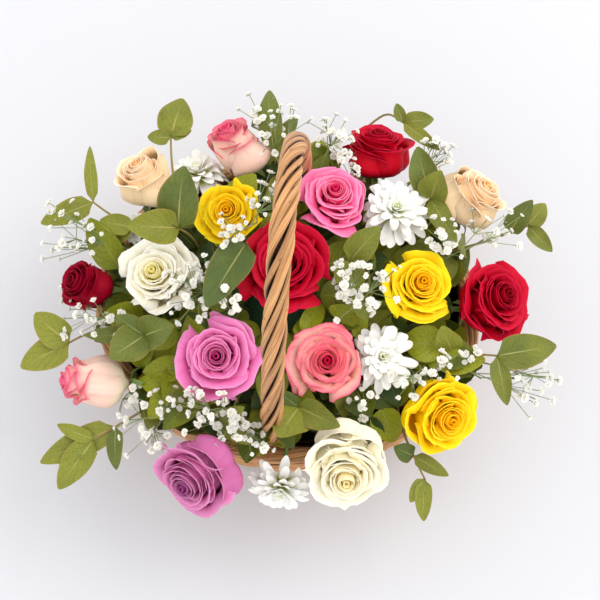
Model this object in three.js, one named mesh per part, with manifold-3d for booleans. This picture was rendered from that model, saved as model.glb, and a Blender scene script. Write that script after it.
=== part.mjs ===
// Oval willow basket with a twisted arch handle, filled with roses, spray chrysanthemums,
// eucalyptus and gypsophila whose cut stems stand in wet foam.
// Millimetres. Origin: centre of the basket's base on the table. X right, Y back, Z up.
import * as THREE from "three";
import { mergeVertices } from "three/addons/utils/BufferGeometryUtils.js";
import Module from "manifold-3d";

const wasm = await Module();
wasm.setup();

// ---- Driving dimensions ----
const OVAL = 0.8; // the basket's depth over its width
const BASE_HALF = 140; // half width of the basket's base
const WALL_HALF = 152; // half width outside the top of the wall
const WALL_HEIGHT = 107;
const WALL_BELLY = 3; // how far the wall swells halfway up
const WALL = 5;
const STAKES = 20;
const WEAVER_ROWS = 5;
const WEAVE_DEPTH = 2.3; // how far a row bows out over one stake and in behind the next
const WEAVE_SINK = 0.5; // how far a row's face lies behind the outsides of its rods
const ROW_EDGE = 0.12; // share of a row's height in which it crosses over to the next row
const RIM_HALF = 150; // half width to the middle of the rim
const RIM_WIDTH = 8; // half of the rim's section, across and up
const RIM_SEAT = 0.9; // height of the rim's middle over the wall, over its half width
const RIM_TURNS = 18; // wraps of the border rods round the rim
const HANDLE_HALF_SPAN = 107.5; // middle of the handle at its feet, along Y
const HANDLE_SPRING = 115; // height at which the arch begins
const HANDLE_RISE = 270;
const HANDLE_FOOT = 30; // lowest point of the handle inside the wall
const HANDLE_LEAN = 8; // how far a foot leans in, as the wall does
const HANDLE_ARCH = 645; // length of bar that is bent over the arch
const HANDLE_RADIUS = 9.5;
const HANDLE_GROOVE = 1.5; // depth of the valleys between the twisted rods
const HANDLE_TWIST = (2 * Math.PI) / 190; // radians of twist for each millimetre
const LINER_HALF = 116;
const LINER_HEIGHT = 94;
const LINER_WALL = 2;
const LINER_TAPER = 8; // how much less the liner's half width is at its bottom
const TRAY_FACETS = 18; // facets round the liner and the foam, which nest
const FOAM_SHOULDER = 110; // height of the foam at its edge
const FOAM_TOP = 132;
const GAP = 0.3; // clearance between pieces that touch
const SOCKET_DEPTH = 34; // how far a cut stem is pushed into the foam
const STEM_AIM = -150; // height of the point that every stem in the foam points away from
const ROSE_STEM = 2.4;
const CHRYSANTHEMUM_STEM = 1.8;
const SPRIG_STEM = 1.5;
const SPRAY_STEM = 1.1;
const PETAL = 1.3; // thickness of a petal in its middle
const LEAF = 1.1;
const LEAF_ARCH = 0.07; // height of a leaf's arch over its length
const LEAF_CUP = 0.1; // how far its sides turn up over its width
const LEAF_ROOM = 4; // how far stems keep from the middle line of a leaf
const TWIG = 0.8; // half thickness of a gypsophila twig
const FLORET = 9.5;
const HEAD_ROOM = 1.06; // radius of the ball that a head keeps to itself, over its own radius
const HEAD_CLEARANCE = 2.5;
const STEM_CLEARANCE = 1.6;
const RIM_CLEARANCE = 1.5;
const FOAM_CLEARANCE = 0.8;
const PRESS_SOFTNESS = 7; // depth over which a pressed head gives way

const COLOURS = {
  willow: 0xc98a4c, handle: 0xd6a066, liner: 0x33383a, foam: 0x3d6b45, stem: 0x6f8a3c,
  eucalyptus: 0x7f9a58, floret: 0xf6f6ee, white: 0xf4efe2, ivory: 0xf3ecd6, peach: 0xf6cfa0,
  yellow: 0xf8cf1c, red: 0xb80520, darkRed: 0x8c0a1e, pink: 0xee83b4, mauve: 0xcf7fb4,
  coral: 0xf0607c, bicolour: 0xf1b3b8,
};

// Every bloom: middle of the head, the way it faces (compass angle from +X towards +Y, and tilt
// from straight up), diameter, length of the head over its diameter, and colour.
const ROSES = {
  bicolour_back: { at: [-56, 120, 158], faces: 128, tilt: 44, size: 54, length: 1.05, colour: "bicolour" },
  peach_left: { at: [-125, 86, 151], faces: 135, tilt: 40, size: 54, length: 1.0, colour: "peach" },
  yellow_left: { at: [-52, 58, 180], faces: 230, tilt: 14, size: 55, length: 0.8, colour: "yellow" },
  white_left: { at: [-103, 3, 167], faces: 180, tilt: 14, size: 69, length: 0.72, colour: "white" },
  dark_red: { at: [-162, -6, 148], faces: 180, tilt: 38, size: 51, length: 0.95, colour: "darkRed" },
  bicolour_left: { at: [-146, -83, 144], faces: 186, tilt: 78, size: 50, length: 1.35, colour: "bicolour" },
  mauve_centre: { at: [-47, -60, 178], faces: 260, tilt: 12, size: 69, length: 0.72, colour: "mauve" },
  mauve_front: { at: [-55, -149, 150], faces: 238, tilt: 56, size: 70, length: 0.82, colour: "mauve" },
  red_centre: { at: [-2, 16, 190], faces: 250, tilt: 8, size: 76, length: 0.74, colour: "red" },
  pink: { at: [29, 78, 180], faces: 80, tilt: 14, size: 61, length: 0.78, colour: "pink" },
  red_back: { at: [59, 132, 152], faces: 84, tilt: 48, size: 61, length: 0.8, colour: "red" },
  coral: { at: [38, -55, 178], faces: 270, tilt: 8, size: 65, length: 0.78, colour: "coral" },
  yellow_right: { at: [103, 14, 175], faces: 20, tilt: 12, size: 62, length: 0.78, colour: "yellow" },
  red_right: { at: [164, 15, 157], faces: 10, tilt: 34, size: 72, length: 0.78, colour: "red" },
  yellow_front: { at: [132, -82, 156], faces: 315, tilt: 38, size: 66, length: 0.8, colour: "yellow" },
  white_front: { at: [61, -132, 161], faces: 275, tilt: 46, size: 76, length: 0.82, colour: "ivory" },
  peach_right: { at: [142, 98, 151], faces: 45, tilt: 46, size: 58, length: 0.9, colour: "peach" },
};
const CHRYSANTHEMUMS = {
  right_back: { at: [79, 76, 170], faces: 60, tilt: 12, size: 60, spray: "right" },
  right_front: { at: [80, -44, 168], faces: 300, tilt: 10, size: 54, spray: "right" },
  front: { at: [11, -149, 131], faces: 268, tilt: 62, size: 50, spray: "front" },
  back_left: { at: [-84, 98, 147], faces: 115, tilt: 38, size: 54, spray: "left" },
  left: { at: [-129, 50, 143], faces: 170, tilt: 45, size: 30, spray: "left" },
};

// Eucalyptus: each sprig stands at `root` on the foam; each branch runs from the root through its
// points, and each leaf grows from a point of its branch to its tip.
const EUCALYPTUS = {
  back_left: {
    root: [-66, 44],
    branches: [
      { path: [[-84, 72, 150], [-98, 110, 160], [-108, 121, 165]],
        leaves: [[3, [-102, 152, 172], 30], [3, [-128, 112, 160], 13], [2, [-92, 128, 166], 10]] },
      { path: [[-112, 40, 146], [-137, 45, 150], [-166, 64, 150]],
        leaves: [[3, [-173, 108, 158], 11], [3, [-205, 42, 146], 20], [2, [-136, 78, 152], 17],
          [2, [-160, 28, 142], 15]] },
    ],
  },
  centre_left: {
    root: [-66, 26],
    branches: [
      { path: [[-76, 34, 168], [-90, 37, 192]],
        leaves: [[2, [-82, 80, 206], 34], [2, [-126, 24, 202], 28]] },
      { path: [[-50, 24, 176], [-34, 30, 194]], leaves: [[2, [-40, -18, 206], 32]] },
    ],
  },
  left: {
    root: [-74, -32],
    branches: [
      { path: [[-94, -44, 148], [-108, -48, 172]],
        leaves: [[2, [-128, -30, 180], 20], [2, [-84, -28, 188], 28], [2, [-137, -76, 166], 30],
          [1, [-156, -54, 158], 18]] },
      { path: [[-120, -38, 138], [-146, -44, 144], [-170, -54, 144]],
        leaves: [[3, [-199, -34, 150], 26], [3, [-192, -80, 142], 26]] },
    ],
  },
  front_left: {
    root: [-52, -58],
    branches: [
      { path: [[-86, -84, 142], [-122, -112, 136], [-141, -128, 134]],
        leaves: [[2, [-168, -98, 142], 24], [3, [-170, -116, 134], 12], [3, [-164, -168, 124], 24],
          [2, [-120, -148, 126], 14], [1, [-98, -116, 142], 22]] },
      { path: [[-60, -84, 150], [-40, -108, 158]],
        leaves: [[1, [-84, -92, 160], 20], [2, [-16, -126, 164], 14], [2, [-44, -134, 162], 14]] },
    ],
  },
  front: {
    root: [10, -62],
    branches: [
      { path: [[14, -76, 158], [20, -92, 172]],
        leaves: [[2, [32, -132, 176], 34], [2, [62, -92, 178], 22], [2, [0, -82, 182], 12]] },
    ],
  },
  right: {
    root: [84, -26],
    branches: [
      { path: [[96, -66, 142], [108, -112, 144], [124, -132, 138]],
        leaves: [[2, [84, -116, 152], 16], [2, [142, -124, 144], 13], [3, [114, -150, 134], 12],
          [3, [126, -163, 128], 14]] },
      { path: [[112, -30, 150], [136, -30, 164], [171, -32, 164]],
        leaves: [[2, [122, -4, 174], 22], [3, [208, -14, 170], 28], [3, [182, -68, 152], 16],
          [2, [146, -58, 158], 26]] },
    ],
  },
  back_right: {
    root: [82, 44],
    branches: [
      { path: [[112, 48, 146], [143, 56, 152], [169, 66, 156], [188, 81, 154]],
        leaves: [[3, [168, 102, 164], 18], [4, [199, 100, 156], 18], [4, [208, 62, 150], 14],
          [2, [136, 78, 160], 22]] },
      { path: [[96, 62, 148], [106, 92, 164]],
        leaves: [[2, [84, 112, 174], 24], [2, [128, 104, 170], 26], [2, [118, 62, 172], 18]] },
    ],
  },
  back: {
    root: [10, 58],
    branches: [
      { path: [[-8, 92, 160], [-24, 118, 168]],
        leaves: [[1, [-24, 66, 200], 28], [2, [-8, 150, 164], 14], [2, [-46, 156, 160], 20]] },
      { path: [[34, 104, 140], [62, 152, 152], [79, 158, 152]],
        leaves: [[3, [70, 170, 154], 10], [3, [103, 164, 152], 16], [3, [98, 132, 156], 12]] },
      { path: [[30, 40, 160], [48, 28, 178]],
        leaves: [[2, [36, -6, 196], 26], [2, [68, 54, 194], 24], [2, [90, -12, 180], 26]] },
    ],
  },
};

// Gypsophila: each spray stands at `root`; each branch runs to its first point and forks there to
// the others, with a floret at the end of every twig.
const GYPSOPHILA = {
  left: {
    root: [-86, 12],
    branches: [
      [[-140, 30, 152], [-186, 46, 166], [-166, 28, 160], [-186, 24, 146]],
      [[-134, -32, 150], [-172, -20, 146], [-150, -36, 160], [-174, -36, 152]],
    ],
  },
  centre_left: {
    root: [-48, 4],
    branches: [
      [[-62, -10, 180], [-80, -8, 204], [-60, 4, 204], [-44, -14, 206], [-74, -26, 200]],
      [[-27, 42, 212], [-28, 72, 216], [-22, 58, 222], [-46, 32, 220]],
    ],
  },
  front_left: {
    root: [-30, -66],
    branches: [
      [[-90, -106, 146], [-114, -112, 150], [-97, -128, 148], [-88, -98, 164]],
      [[-32, -102, 162], [-62, -100, 182], [-42, -98, 188], [-28, -116, 178], [-10, -124, 172]],
    ],
  },
  back: {
    root: [-12, 70],
    branches: [
      [[-22, 122, 170], [-42, 150, 168], [-26, 138, 186], [-8, 142, 182]],
      [[20, 124, 170], [16, 146, 172], [28, 130, 188]],
      [[96, 112, 150], [102, 140, 158], [116, 128, 160]],
    ],
  },
  right: {
    root: [66, 4],
    branches: [
      [[56, -10, 188], [56, -14, 210], [72, 8, 206], [47, 8, 214]],
      [[134, 50, 168], [152, 76, 170], [172, 70, 168], [116, 56, 190]],
      [[116, -54, 160], [128, -44, 178], [100, -66, 184]],
      [[160, -48, 148], [188, -46, 156], [214, -42, 154], [204, -60, 148]],
    ],
  },
};

// ---- Small helpers ----
const vec = (p) => new THREE.Vector3(p[0], p[1], p[2]);
const lerp = THREE.MathUtils.lerp;
const clamp = THREE.MathUtils.clamp;

// A closed three.js geometry as a solid with its faces outward; merging closes its seams, and
// faces of no area are left out.
function solid(geometry) {
  geometry.deleteAttribute("normal");
  geometry.deleteAttribute("uv");
  const merged = mergeVertices(geometry, 1e-4);
  const corners = merged.index.array;
  const faces = [];
  for (let i = 0; i < corners.length; i += 3) {
    const [a, b, c] = [corners[i], corners[i + 1], corners[i + 2]];
    if (a !== b && b !== c && c !== a) faces.push(a, b, c);
  }
  const vertProperties = new Float32Array(merged.attributes.position.array);
  const meshed = (triVerts) => new wasm.Manifold(new wasm.Mesh({ numProp: 3, vertProperties, triVerts }));
  const body = meshed(new Uint32Array(faces));
  return body.volume() > 0 ? body : meshed(new Uint32Array(faces).reverse());
}

function geometryOf(body) {
  const mesh = body.getMesh();
  const geometry = new THREE.BufferGeometry();
  geometry.setAttribute("position", new THREE.BufferAttribute(mesh.vertProperties.slice(), 3));
  geometry.setIndex(new THREE.BufferAttribute(mesh.triVerts.slice(), 1));
  return geometry;
}

// The largest connected surface: no loose scraps, and a hollow that joining sealed is filled.
function largest(body) {
  const pieces = body.decompose();
  return pieces.reduce((best, piece) => (piece.volume() > best.volume() ? piece : best));
}

const joined = (solids) => largest(solids.reduce((whole, next) => whole.add(next)));

function moveVertices(geometry, place) {
  const position = geometry.attributes.position;
  const point = new THREE.Vector3();
  for (let i = 0; i < position.count; i += 1) {
    point.fromBufferAttribute(position, i);
    place(point);
    position.setXYZ(i, point.x, point.y, point.z);
  }
  return geometry;
}

// A blade with a sharp edge: surface(u, v) gives the middle sheet for u from -1 to 1 and v from
// 0 to 1, and both faces share its outline and are split into triangles alike.
function blade(surface, thickness, columns, rows) {
  const sheet = [];
  for (let row = 0; row <= rows; row += 1) {
    for (let column = 0; column <= columns; column += 1) {
      sheet.push(surface((2 * column) / columns - 1, row / rows));
    }
  }
  const at = (row, column) => row * (columns + 1) + column;
  const points = sheet.map((p) => p.clone());
  const under = sheet.map((_, i) => i);
  for (let row = 1; row < rows; row += 1) {
    for (let column = 1; column < columns; column += 1) {
      const i = at(row, column);
      const across = sheet[at(row, column + 1)].clone().sub(sheet[at(row, column - 1)]);
      const along = sheet[at(row + 1, column)].clone().sub(sheet[at(row - 1, column)]);
      const half = across.cross(along).setLength(thickness / 2);
      under[i] = points.length;
      points.push(sheet[i].clone().sub(half));
      points[i].add(half);
    }
  }
  const faces = [];
  for (let row = 0; row < rows; row += 1) {
    for (let column = 0; column < columns; column += 1) {
      const [a, b] = [at(row, column), at(row, column + 1)];
      const [c, d] = [at(row + 1, column + 1), at(row + 1, column)];
      const slant = (row + column) % 2 === 0;
      const halves = slant ? [[a, b, c], [a, c, d]] : [[a, b, d], [b, c, d]];
      for (const [p, q, r] of halves) {
        faces.push(p, q, r, under[p], under[r], under[q]);
      }
    }
  }
  const geometry = new THREE.BufferGeometry();
  const flat = points.flatMap((p) => p.toArray());
  geometry.setAttribute("position", new THREE.Float32BufferAttribute(flat, 3));
  geometry.setIndex(faces);
  return solid(geometry);
}

// A curve through listed points that is sampled exactly at them, with smooth tangents.
class Route extends THREE.Curve {
  constructor(points) {
    super();
    this.points = points;
  }

  getPoint(t) {
    const s = t * (this.points.length - 1);
    const i = Math.min(Math.floor(s), this.points.length - 2);
    return this.points[i].clone().lerp(this.points[i + 1], s - i);
  }

  getTangent(t) {
    const i = Math.round(t * (this.points.length - 1));
    const before = this.points[Math.max(i - 1, 0)];
    return this.points[Math.min(i + 1, this.points.length - 1)].clone().sub(before).normalize();
  }

  getUtoTmapping(u) {
    return u;
  }
}

// A tube of a regular section along a route.
function tube(points, radius, sides) {
  const section = new THREE.Shape();
  for (let i = 0; i < sides; i += 1) {
    const turn = (2 * Math.PI * i) / sides;
    const [x, y] = [radius * Math.cos(turn), radius * Math.sin(turn)];
    if (i === 0) section.moveTo(x, y);
    else section.lineTo(x, y);
  }
  const settings = { steps: points.length - 1, extrudePath: new Route(points), curveSegments: 1 };
  return solid(new THREE.ExtrudeGeometry(section, settings));
}

// A turned profile of [radius, height] pairs, closed on the axis.
function turned(profile, segments) {
  return new THREE.LatheGeometry(profile.map(([r, z]) => new THREE.Vector2(r, z)), segments)
    .rotateX(Math.PI / 2);
}

// How far out a point lies over the basket's oval: 1 on the middle of the rim.
const reach = (x, y) => Math.hypot(x / RIM_HALF, y / (RIM_HALF * OVAL));

// ---- Basket ----
// The wall is turned with two rings to each row of weavers, one near its foot and one near its
// top. Both wave out over every other stake, and the next row's wave the other way.
function basketBody() {
  const profile = [[0, 0], [BASE_HALF * 0.5, 0], [BASE_HALF, 0]];
  for (let row = 0; row < WEAVER_ROWS; row += 1) {
    const top = row === WEAVER_ROWS - 1 ? 1 : 1 - ROW_EDGE;
    for (const share of [ROW_EDGE, top]) {
      const rise = (row + share) / WEAVER_ROWS;
      const half = lerp(BASE_HALF, WALL_HALF, rise) + WALL_BELLY * Math.sin(Math.PI * rise);
      profile.push([half - WEAVE_SINK, WALL_HEIGHT * rise]);
    }
  }
  profile.push([WALL_HALF - WALL, WALL_HEIGHT], [BASE_HALF - WALL, WALL], [0, WALL]);
  const geometry = turned(profile, STAKES * 2);
  moveVertices(geometry, (p) => {
    const radius = Math.hypot(p.x, p.y);
    const turn = Math.atan2(p.y, p.x);
    const rise = p.z / WALL_HEIGHT;
    const row = Math.min(Math.floor(rise * WEAVER_ROWS), WEAVER_ROWS - 1);
    const outside = rise > 0 && radius > lerp(BASE_HALF, WALL_HALF, rise) - 2 * WEAVE_SINK;
    const weave = outside ? WEAVE_DEPTH * Math.cos(STAKES * turn + Math.PI * row) : 0;
    const grown = radius > 0 ? 1 + weave / radius : 1;
    p.set(p.x * grown, p.y * grown * OVAL, p.z);
  });
  return solid(geometry);
}

// The rim is a ring of border rods: an oval torus whose section is ridged by the rods' wraps.
function rimRing() {
  const ring = new THREE.TorusGeometry(RIM_HALF, RIM_WIDTH, 5, 36);
  const middle = WALL_HEIGHT + GAP + RIM_WIDTH * RIM_SEAT;
  moveVertices(ring, (p) => {
    const turn = Math.atan2(p.y, p.x);
    const core = new THREE.Vector3(RIM_HALF * Math.cos(turn), RIM_HALF * Math.sin(turn), 0);
    const section = p.clone().sub(core);
    const around = Math.atan2(section.z, Math.hypot(p.x, p.y) - RIM_HALF);
    section.multiplyScalar(0.93 + 0.07 * Math.cos(RIM_TURNS * turn + around));
    p.copy(core).add(section);
    p.set(p.x, p.y * OVAL, clamp(p.z + middle, WALL_HEIGHT + GAP, middle + RIM_WIDTH));
  });
  return solid(ring);
}

// Four thick rods twisted into one: a straight bar of a lobed section, twisted along its length
// and then bent up one leg, over the arch and down the other.
function handleRod(grown) {
  const section = new THREE.Shape();
  const sides = 8;
  for (let i = 0; i < sides; i += 1) {
    const turn = (2 * Math.PI * i) / sides;
    const radius = HANDLE_RADIUS + grown - (i % 2 === 0 ? HANDLE_GROOVE : 0);
    if (i === 0) section.moveTo(radius, 0);
    else section.lineTo(radius * Math.cos(turn), radius * Math.sin(turn));
  }
  const leg = HANDLE_SPRING - HANDLE_FOOT;
  const settings = { depth: HANDLE_ARCH + 2 * leg, steps: 36, bevelEnabled: false };
  const bar = new THREE.ExtrudeGeometry(section, settings);
  moveVertices(bar, (p) => {
    const [s, twist] = [p.z, p.z * HANDLE_TWIST];
    const across = p.x * Math.cos(twist) - p.y * Math.sin(twist);
    const outward = p.x * Math.sin(twist) + p.y * Math.cos(twist);
    const turn = clamp((s - leg) / HANDLE_ARCH, 0, 1) * Math.PI;
    const [along, rise] = [Math.cos(turn), Math.sin(turn)];
    const middle = new THREE.Vector3(0, -HANDLE_HALF_SPAN * along, HANDLE_SPRING + HANDLE_RISE * rise);
    const sunk = Math.max(leg - s, 0) + Math.max(s - leg - HANDLE_ARCH, 0);
    middle.z -= sunk;
    middle.y -= (Math.sign(middle.y) * HANDLE_LEAN * sunk) / leg;
    const normal = new THREE.Vector3(0, -along * HANDLE_RISE, rise * HANDLE_HALF_SPAN).normalize();
    p.copy(middle).addScaledVector(normal, outward).setX(-across);
  });
  return solid(bar);
}

function linerTray() {
  const bottom = WALL + GAP;
  const inside = LINER_HALF - LINER_WALL;
  const profile = [
    [0, bottom], [LINER_HALF - LINER_TAPER, bottom], [LINER_HALF, LINER_HEIGHT],
    [inside, LINER_HEIGHT], [inside - LINER_TAPER, bottom + LINER_WALL], [0, bottom + LINER_WALL],
  ];
  return solid(moveVertices(turned(profile, TRAY_FACETS), (p) => p.set(p.x, p.y * OVAL, p.z)));
}

const FOAM_HALF = LINER_HALF - LINER_WALL - GAP;

function foamHeight(x, y) {
  const out = Math.hypot(x / FOAM_HALF, y / (FOAM_HALF * OVAL));
  return lerp(FOAM_TOP, FOAM_SHOULDER, Math.min(out, 1) ** 2);
}

function foamBlock() {
  const bottom = WALL + 2 * GAP + LINER_WALL;
  const foot = FOAM_HALF - LINER_TAPER;
  const profile = [[0, bottom], [foot, bottom], [FOAM_HALF, LINER_HEIGHT], [FOAM_HALF, FOAM_SHOULDER]];
  for (const out of [0.75, 0.4]) profile.push([FOAM_HALF * out, lerp(FOAM_TOP, FOAM_SHOULDER, out * out)]);
  profile.push([0, FOAM_TOP]);
  return solid(moveVertices(turned(profile, TRAY_FACETS), (p) => p.set(p.x, p.y * OVAL, p.z)));
}

// ---- Heads ----
// The way a head faces, as an arrow of length one.
function facing(spec) {
  const [around, tilt] = [spec.faces, spec.tilt].map(THREE.MathUtils.degToRad);
  const level = Math.sin(tilt);
  return new THREE.Vector3(level * Math.cos(around), level * Math.sin(around), Math.cos(tilt));
}

// Layers of a rose from the outside in: petals and the facets across each, radius and roll-back
// over the head's diameter, heights of root and tip over its length, and half angle of a petal.
const ROSE_LAYERS = [
  { petals: 4, columns: 3, radius: 0.42, root: -0.42, tip: 0.12, roll: 0.07, span: 0.95 },
  { petals: 3, columns: 3, radius: 0.3, root: -0.34, tip: 0.3, roll: 0.03, span: 1.15 },
  { petals: 1, columns: 5, radius: 0.18, root: -0.25, tip: 0.38, roll: 0.0, span: 2.2 },
];
const CALYX_DROP = 0.44; // depth of the head's base below its middle, over its length

// A petal stands on a cup: its sheet climbs from the head's base and swells to the layer's
// radius, one edge lies further out than the other, and the tip is round and rolls outwards.
function petalSheet(layer, around, size, length) {
  return (u, v) => {
    const climb = Math.sin((Math.PI / 2) * Math.min(v * 1.3, 1));
    const angle = around + u * layer.span * [0, 1, 0.62][Math.round(2 * v)];
    const radius = size * (lerp(0.09, layer.radius, climb) + layer.roll * v ** 3 + 0.035 * u * climb);
    const height = length * size * (lerp(layer.root, layer.tip, v) - 0.08 * u * u * v);
    return new THREE.Vector3(radius * Math.cos(angle), radius * Math.sin(angle), height);
  };
}

function roseHead({ size, length }, spin) {
  const tall = length * size;
  const [wide, foot, top] = [0.12 * size, -CALYX_DROP * tall, 0.3 * tall];
  const core = turned([[0, foot], [wide, foot], [wide, top], [0, top]], 5);
  const parts = [solid(core)];
  ROSE_LAYERS.forEach((layer, depth) => {
    for (let i = 0; i < layer.petals; i += 1) {
      const around = spin + depth * 0.7 + (2 * Math.PI * i) / layer.petals;
      parts.push(blade(petalSheet(layer, around, size, length), PETAL, layer.columns, 2));
    }
  });
  return joined(parts);
}

// Layers of a chrysanthemum: straps, reach over the head's radius, rise of the tips.
const STRAP_LAYERS = [
  { straps: 8, reach: 0.5, rise: 0.02 },
  { straps: 6, reach: 0.42, rise: 0.2 },
  { straps: 3, reach: 0.26, rise: 0.3 },
];

const BUTTON = [[0, -0.3], [0.08, -0.3], [0.17, -0.08], [0.1, 0.16], [0, 0.18]]; // core, over the size

function chrysanthemumHead({ size }, spin) {
  const parts = [solid(turned(BUTTON.map(([r, z]) => [r * size, z * size]), 5))];
  STRAP_LAYERS.forEach((layer, depth) => {
    for (let i = 0; i < layer.straps; i += 1) {
      const angle = spin + depth * 0.4 + (2 * Math.PI * i) / layer.straps;
      const strap = new THREE.ConeGeometry(0.075 * size, layer.reach * size, 3, 1);
      moveVertices(strap, (p) => {
        const out = p.y / (layer.reach * size) + 0.5;
        const wide = (1 - 0.35 * out) * p.x;
        const radius = lerp(0.05, layer.reach, out) * size;
        const height = (layer.rise * out - 0.12 + 0.06 * depth) * size + 0.35 * p.z;
        p.set(radius, wide, height).applyAxisAngle(new THREE.Vector3(0, 0, 1), angle);
      });
      parts.push(solid(strap));
    }
  });
  return joined(parts);
}

// ---- Keeping neighbours apart ----
const HEADS = [...Object.values(ROSES), ...Object.values(CHRYSANTHEMUMS)];
const headRadius = (spec) => (spec.size / 2) * Math.max(1, (spec.length ?? 0.7) * 0.95);

// Where two heads crowd each other, each is pressed flat against the plane between them.
function press(body, spec) {
  const middle = vec(spec.at);
  const planes = [];
  for (const other of HEADS) {
    const between = vec(other.at).sub(middle);
    const distance = between.length();
    const spare = distance - headRadius(spec) * 1.1 - headRadius(other) * 1.1;
    if (other === spec || spare > 0) continue;
    const share = headRadius(spec) / (headRadius(spec) + headRadius(other));
    planes.push({ normal: between.normalize(), limit: distance * share - GAP });
  }
  if (planes.length === 0) return body;
  const geometry = moveVertices(geometryOf(body), (p) => {
    for (const { normal, limit } of planes) {
      const over = p.clone().sub(middle).dot(normal) - (limit - PRESS_SOFTNESS);
      const kept = PRESS_SOFTNESS * (1 - Math.exp(-over / PRESS_SOFTNESS));
      if (over > 0) p.addScaledVector(normal, kept - over);
    }
  });
  return solid(geometry);
}

function placed(body, spec) {
  const turn = new THREE.Quaternion().setFromUnitVectors(new THREE.Vector3(0, 0, 1), facing(spec));
  const matrix = new THREE.Matrix4().compose(vec(spec.at), turn, new THREE.Vector3(1, 1, 1));
  return solid(geometryOf(body).applyMatrix4(matrix));
}

// The ball that a head keeps to itself; foliage is bent round it.
function headRoom(spec) {
  const ball = new THREE.IcosahedronGeometry(headRadius(spec) * HEAD_ROOM + 2 * GAP, 1);
  return solid(ball.translate(...spec.at));
}

const laid = []; // the handle and every stem so far, as lines with a radius

// How far a point must move to clear the heads, the stems laid so far, the rim and the foam.
function dodge(point, radius, own) {
  const shift = new THREE.Vector3();
  const pushFrom = (centre, clear) => {
    const away = point.clone().sub(centre);
    const short = clear - away.length();
    if (short > 0) shift.add(away.setLength(short));
  };
  for (const spec of HEADS) {
    if (spec !== own) pushFrom(vec(spec.at), headRadius(spec) * HEAD_ROOM + radius + HEAD_CLEARANCE);
  }
  for (const stem of laid) {
    const nearest = stem.line.closestPointToPoint(point, true, new THREE.Vector3());
    pushFrom(nearest, stem.radius + radius + STEM_CLEARANCE);
  }
  const out = reach(point.x, point.y);
  const rimTop = WALL_HEIGHT + 2 * RIM_WIDTH;
  let floor = 0;
  if (out > 0.88 && out < 1.14) floor = rimTop + radius + RIM_CLEARANCE;
  if (out <= 0.88) floor = foamHeight(point.x, point.y) + radius + FOAM_CLEARANCE;
  shift.z += Math.max(floor - point.z, 0);
  return shift;
}

// A route through the points whose bends are moved clear of everything laid before it.
function route(points, radius, own, steps) {
  const path = new THREE.CatmullRomCurve3(points, false, "centripetal").getPoints(steps);
  const last = path.length - 1;
  for (let pass = 0; pass < 40; pass += 1) {
    for (let i = 1; i < last; i += 1) {
      if (pass < 30) path[i].lerp(path[i - 1].clone().add(path[i + 1]).multiplyScalar(0.5), 0.25);
      path[i].add(dodge(path[i], radius, own));
    }
    for (let i = 1; i <= last; i += 1) {
      const shift = dodge(path[i - 1].clone().lerp(path[i], 0.5), radius, own);
      if (i > 1) path[i - 1].addScaledVector(shift, 0.8);
      if (i < last) path[i].addScaledVector(shift, 0.8);
    }
  }
  return path;
}

function lay(points, radius) {
  points.slice(1).forEach((point, i) => laid.push({ line: new THREE.Line3(points[i], point), radius }));
}

const holes = [];

// Where a stem of the given radius stands at (x, y): its cut end, and where it leaves the foam.
function standing(x, y, radius, sides) {
  const top = new THREE.Vector3(x, y, foamHeight(x, y));
  const up = top.clone().sub(new THREE.Vector3(0, 0, STEM_AIM)).normalize();
  const cut = top.clone().addScaledVector(up, -SOCKET_DEPTH);
  const rise = top.clone().addScaledVector(up, 2 + radius);
  const wide = radius / Math.cos(Math.PI / sides) + GAP;
  const hole = [cut.clone().addScaledVector(up, -GAP), rise.clone().addScaledVector(up, 2)];
  holes.push(tube(hole, wide, sides));
  return { cut, rise };
}

// Foam entry for a stem that ends at `end`: the same bearing, drawn in over the foam.
function entryFor(end) {
  const out = Math.hypot(end.x / FOAM_HALF, end.y / (FOAM_HALF * OVAL));
  const drawn = Math.min(0.78, 0.8 / out);
  return [end.x * drawn, end.y * drawn];
}

// A rose's stem: foot in the foam, a bend up to the head, a cup under it and five sepals.
function roseStem(spec) {
  const aim = facing(spec);
  const top = vec(spec.at).addScaledVector(aim, -CALYX_DROP * spec.length * spec.size - GAP);
  const cup = turned([[0, -6], [5, -2.5], [4.4, 0], [0, 0]], 5);
  const turn = new THREE.Quaternion().setFromUnitVectors(new THREE.Vector3(0, 0, 1), aim);
  cup.applyMatrix4(new THREE.Matrix4().compose(top, turn, new THREE.Vector3(1, 1, 1)));
  const neck = top.clone().addScaledVector(aim, -4);
  const { cut, rise } = standing(...entryFor(top), ROSE_STEM, 4);
  const path = route([rise, neck.clone().addScaledVector(aim, -8), neck], ROSE_STEM, spec, 3);
  lay(path, ROSE_STEM);
  return tube([cut, ...path], ROSE_STEM, 4).add(solid(cup));
}

// A spray of chrysanthemums: one foot in the foam, and a stalk to each of its heads.
function chrysanthemumSpray(specs, root) {
  const { cut, rise } = standing(...root, CHRYSANTHEMUM_STEM, 4);
  const routes = [];
  const stalks = specs.map((spec, i) => {
    const aim = facing(spec);
    const top = vec(spec.at).addScaledVector(aim, -0.3 * spec.size - GAP);
    const low = top.clone().addScaledVector(aim, -9);
    const path = [...route([rise, low], CHRYSANTHEMUM_STEM, spec, 3), top];
    routes.push(path);
    return tube(i === 0 ? [cut, ...path] : path, CHRYSANTHEMUM_STEM, 4);
  });
  routes.forEach((path) => lay(path, CHRYSANTHEMUM_STEM));
  return joined(stalks);
}

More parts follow.
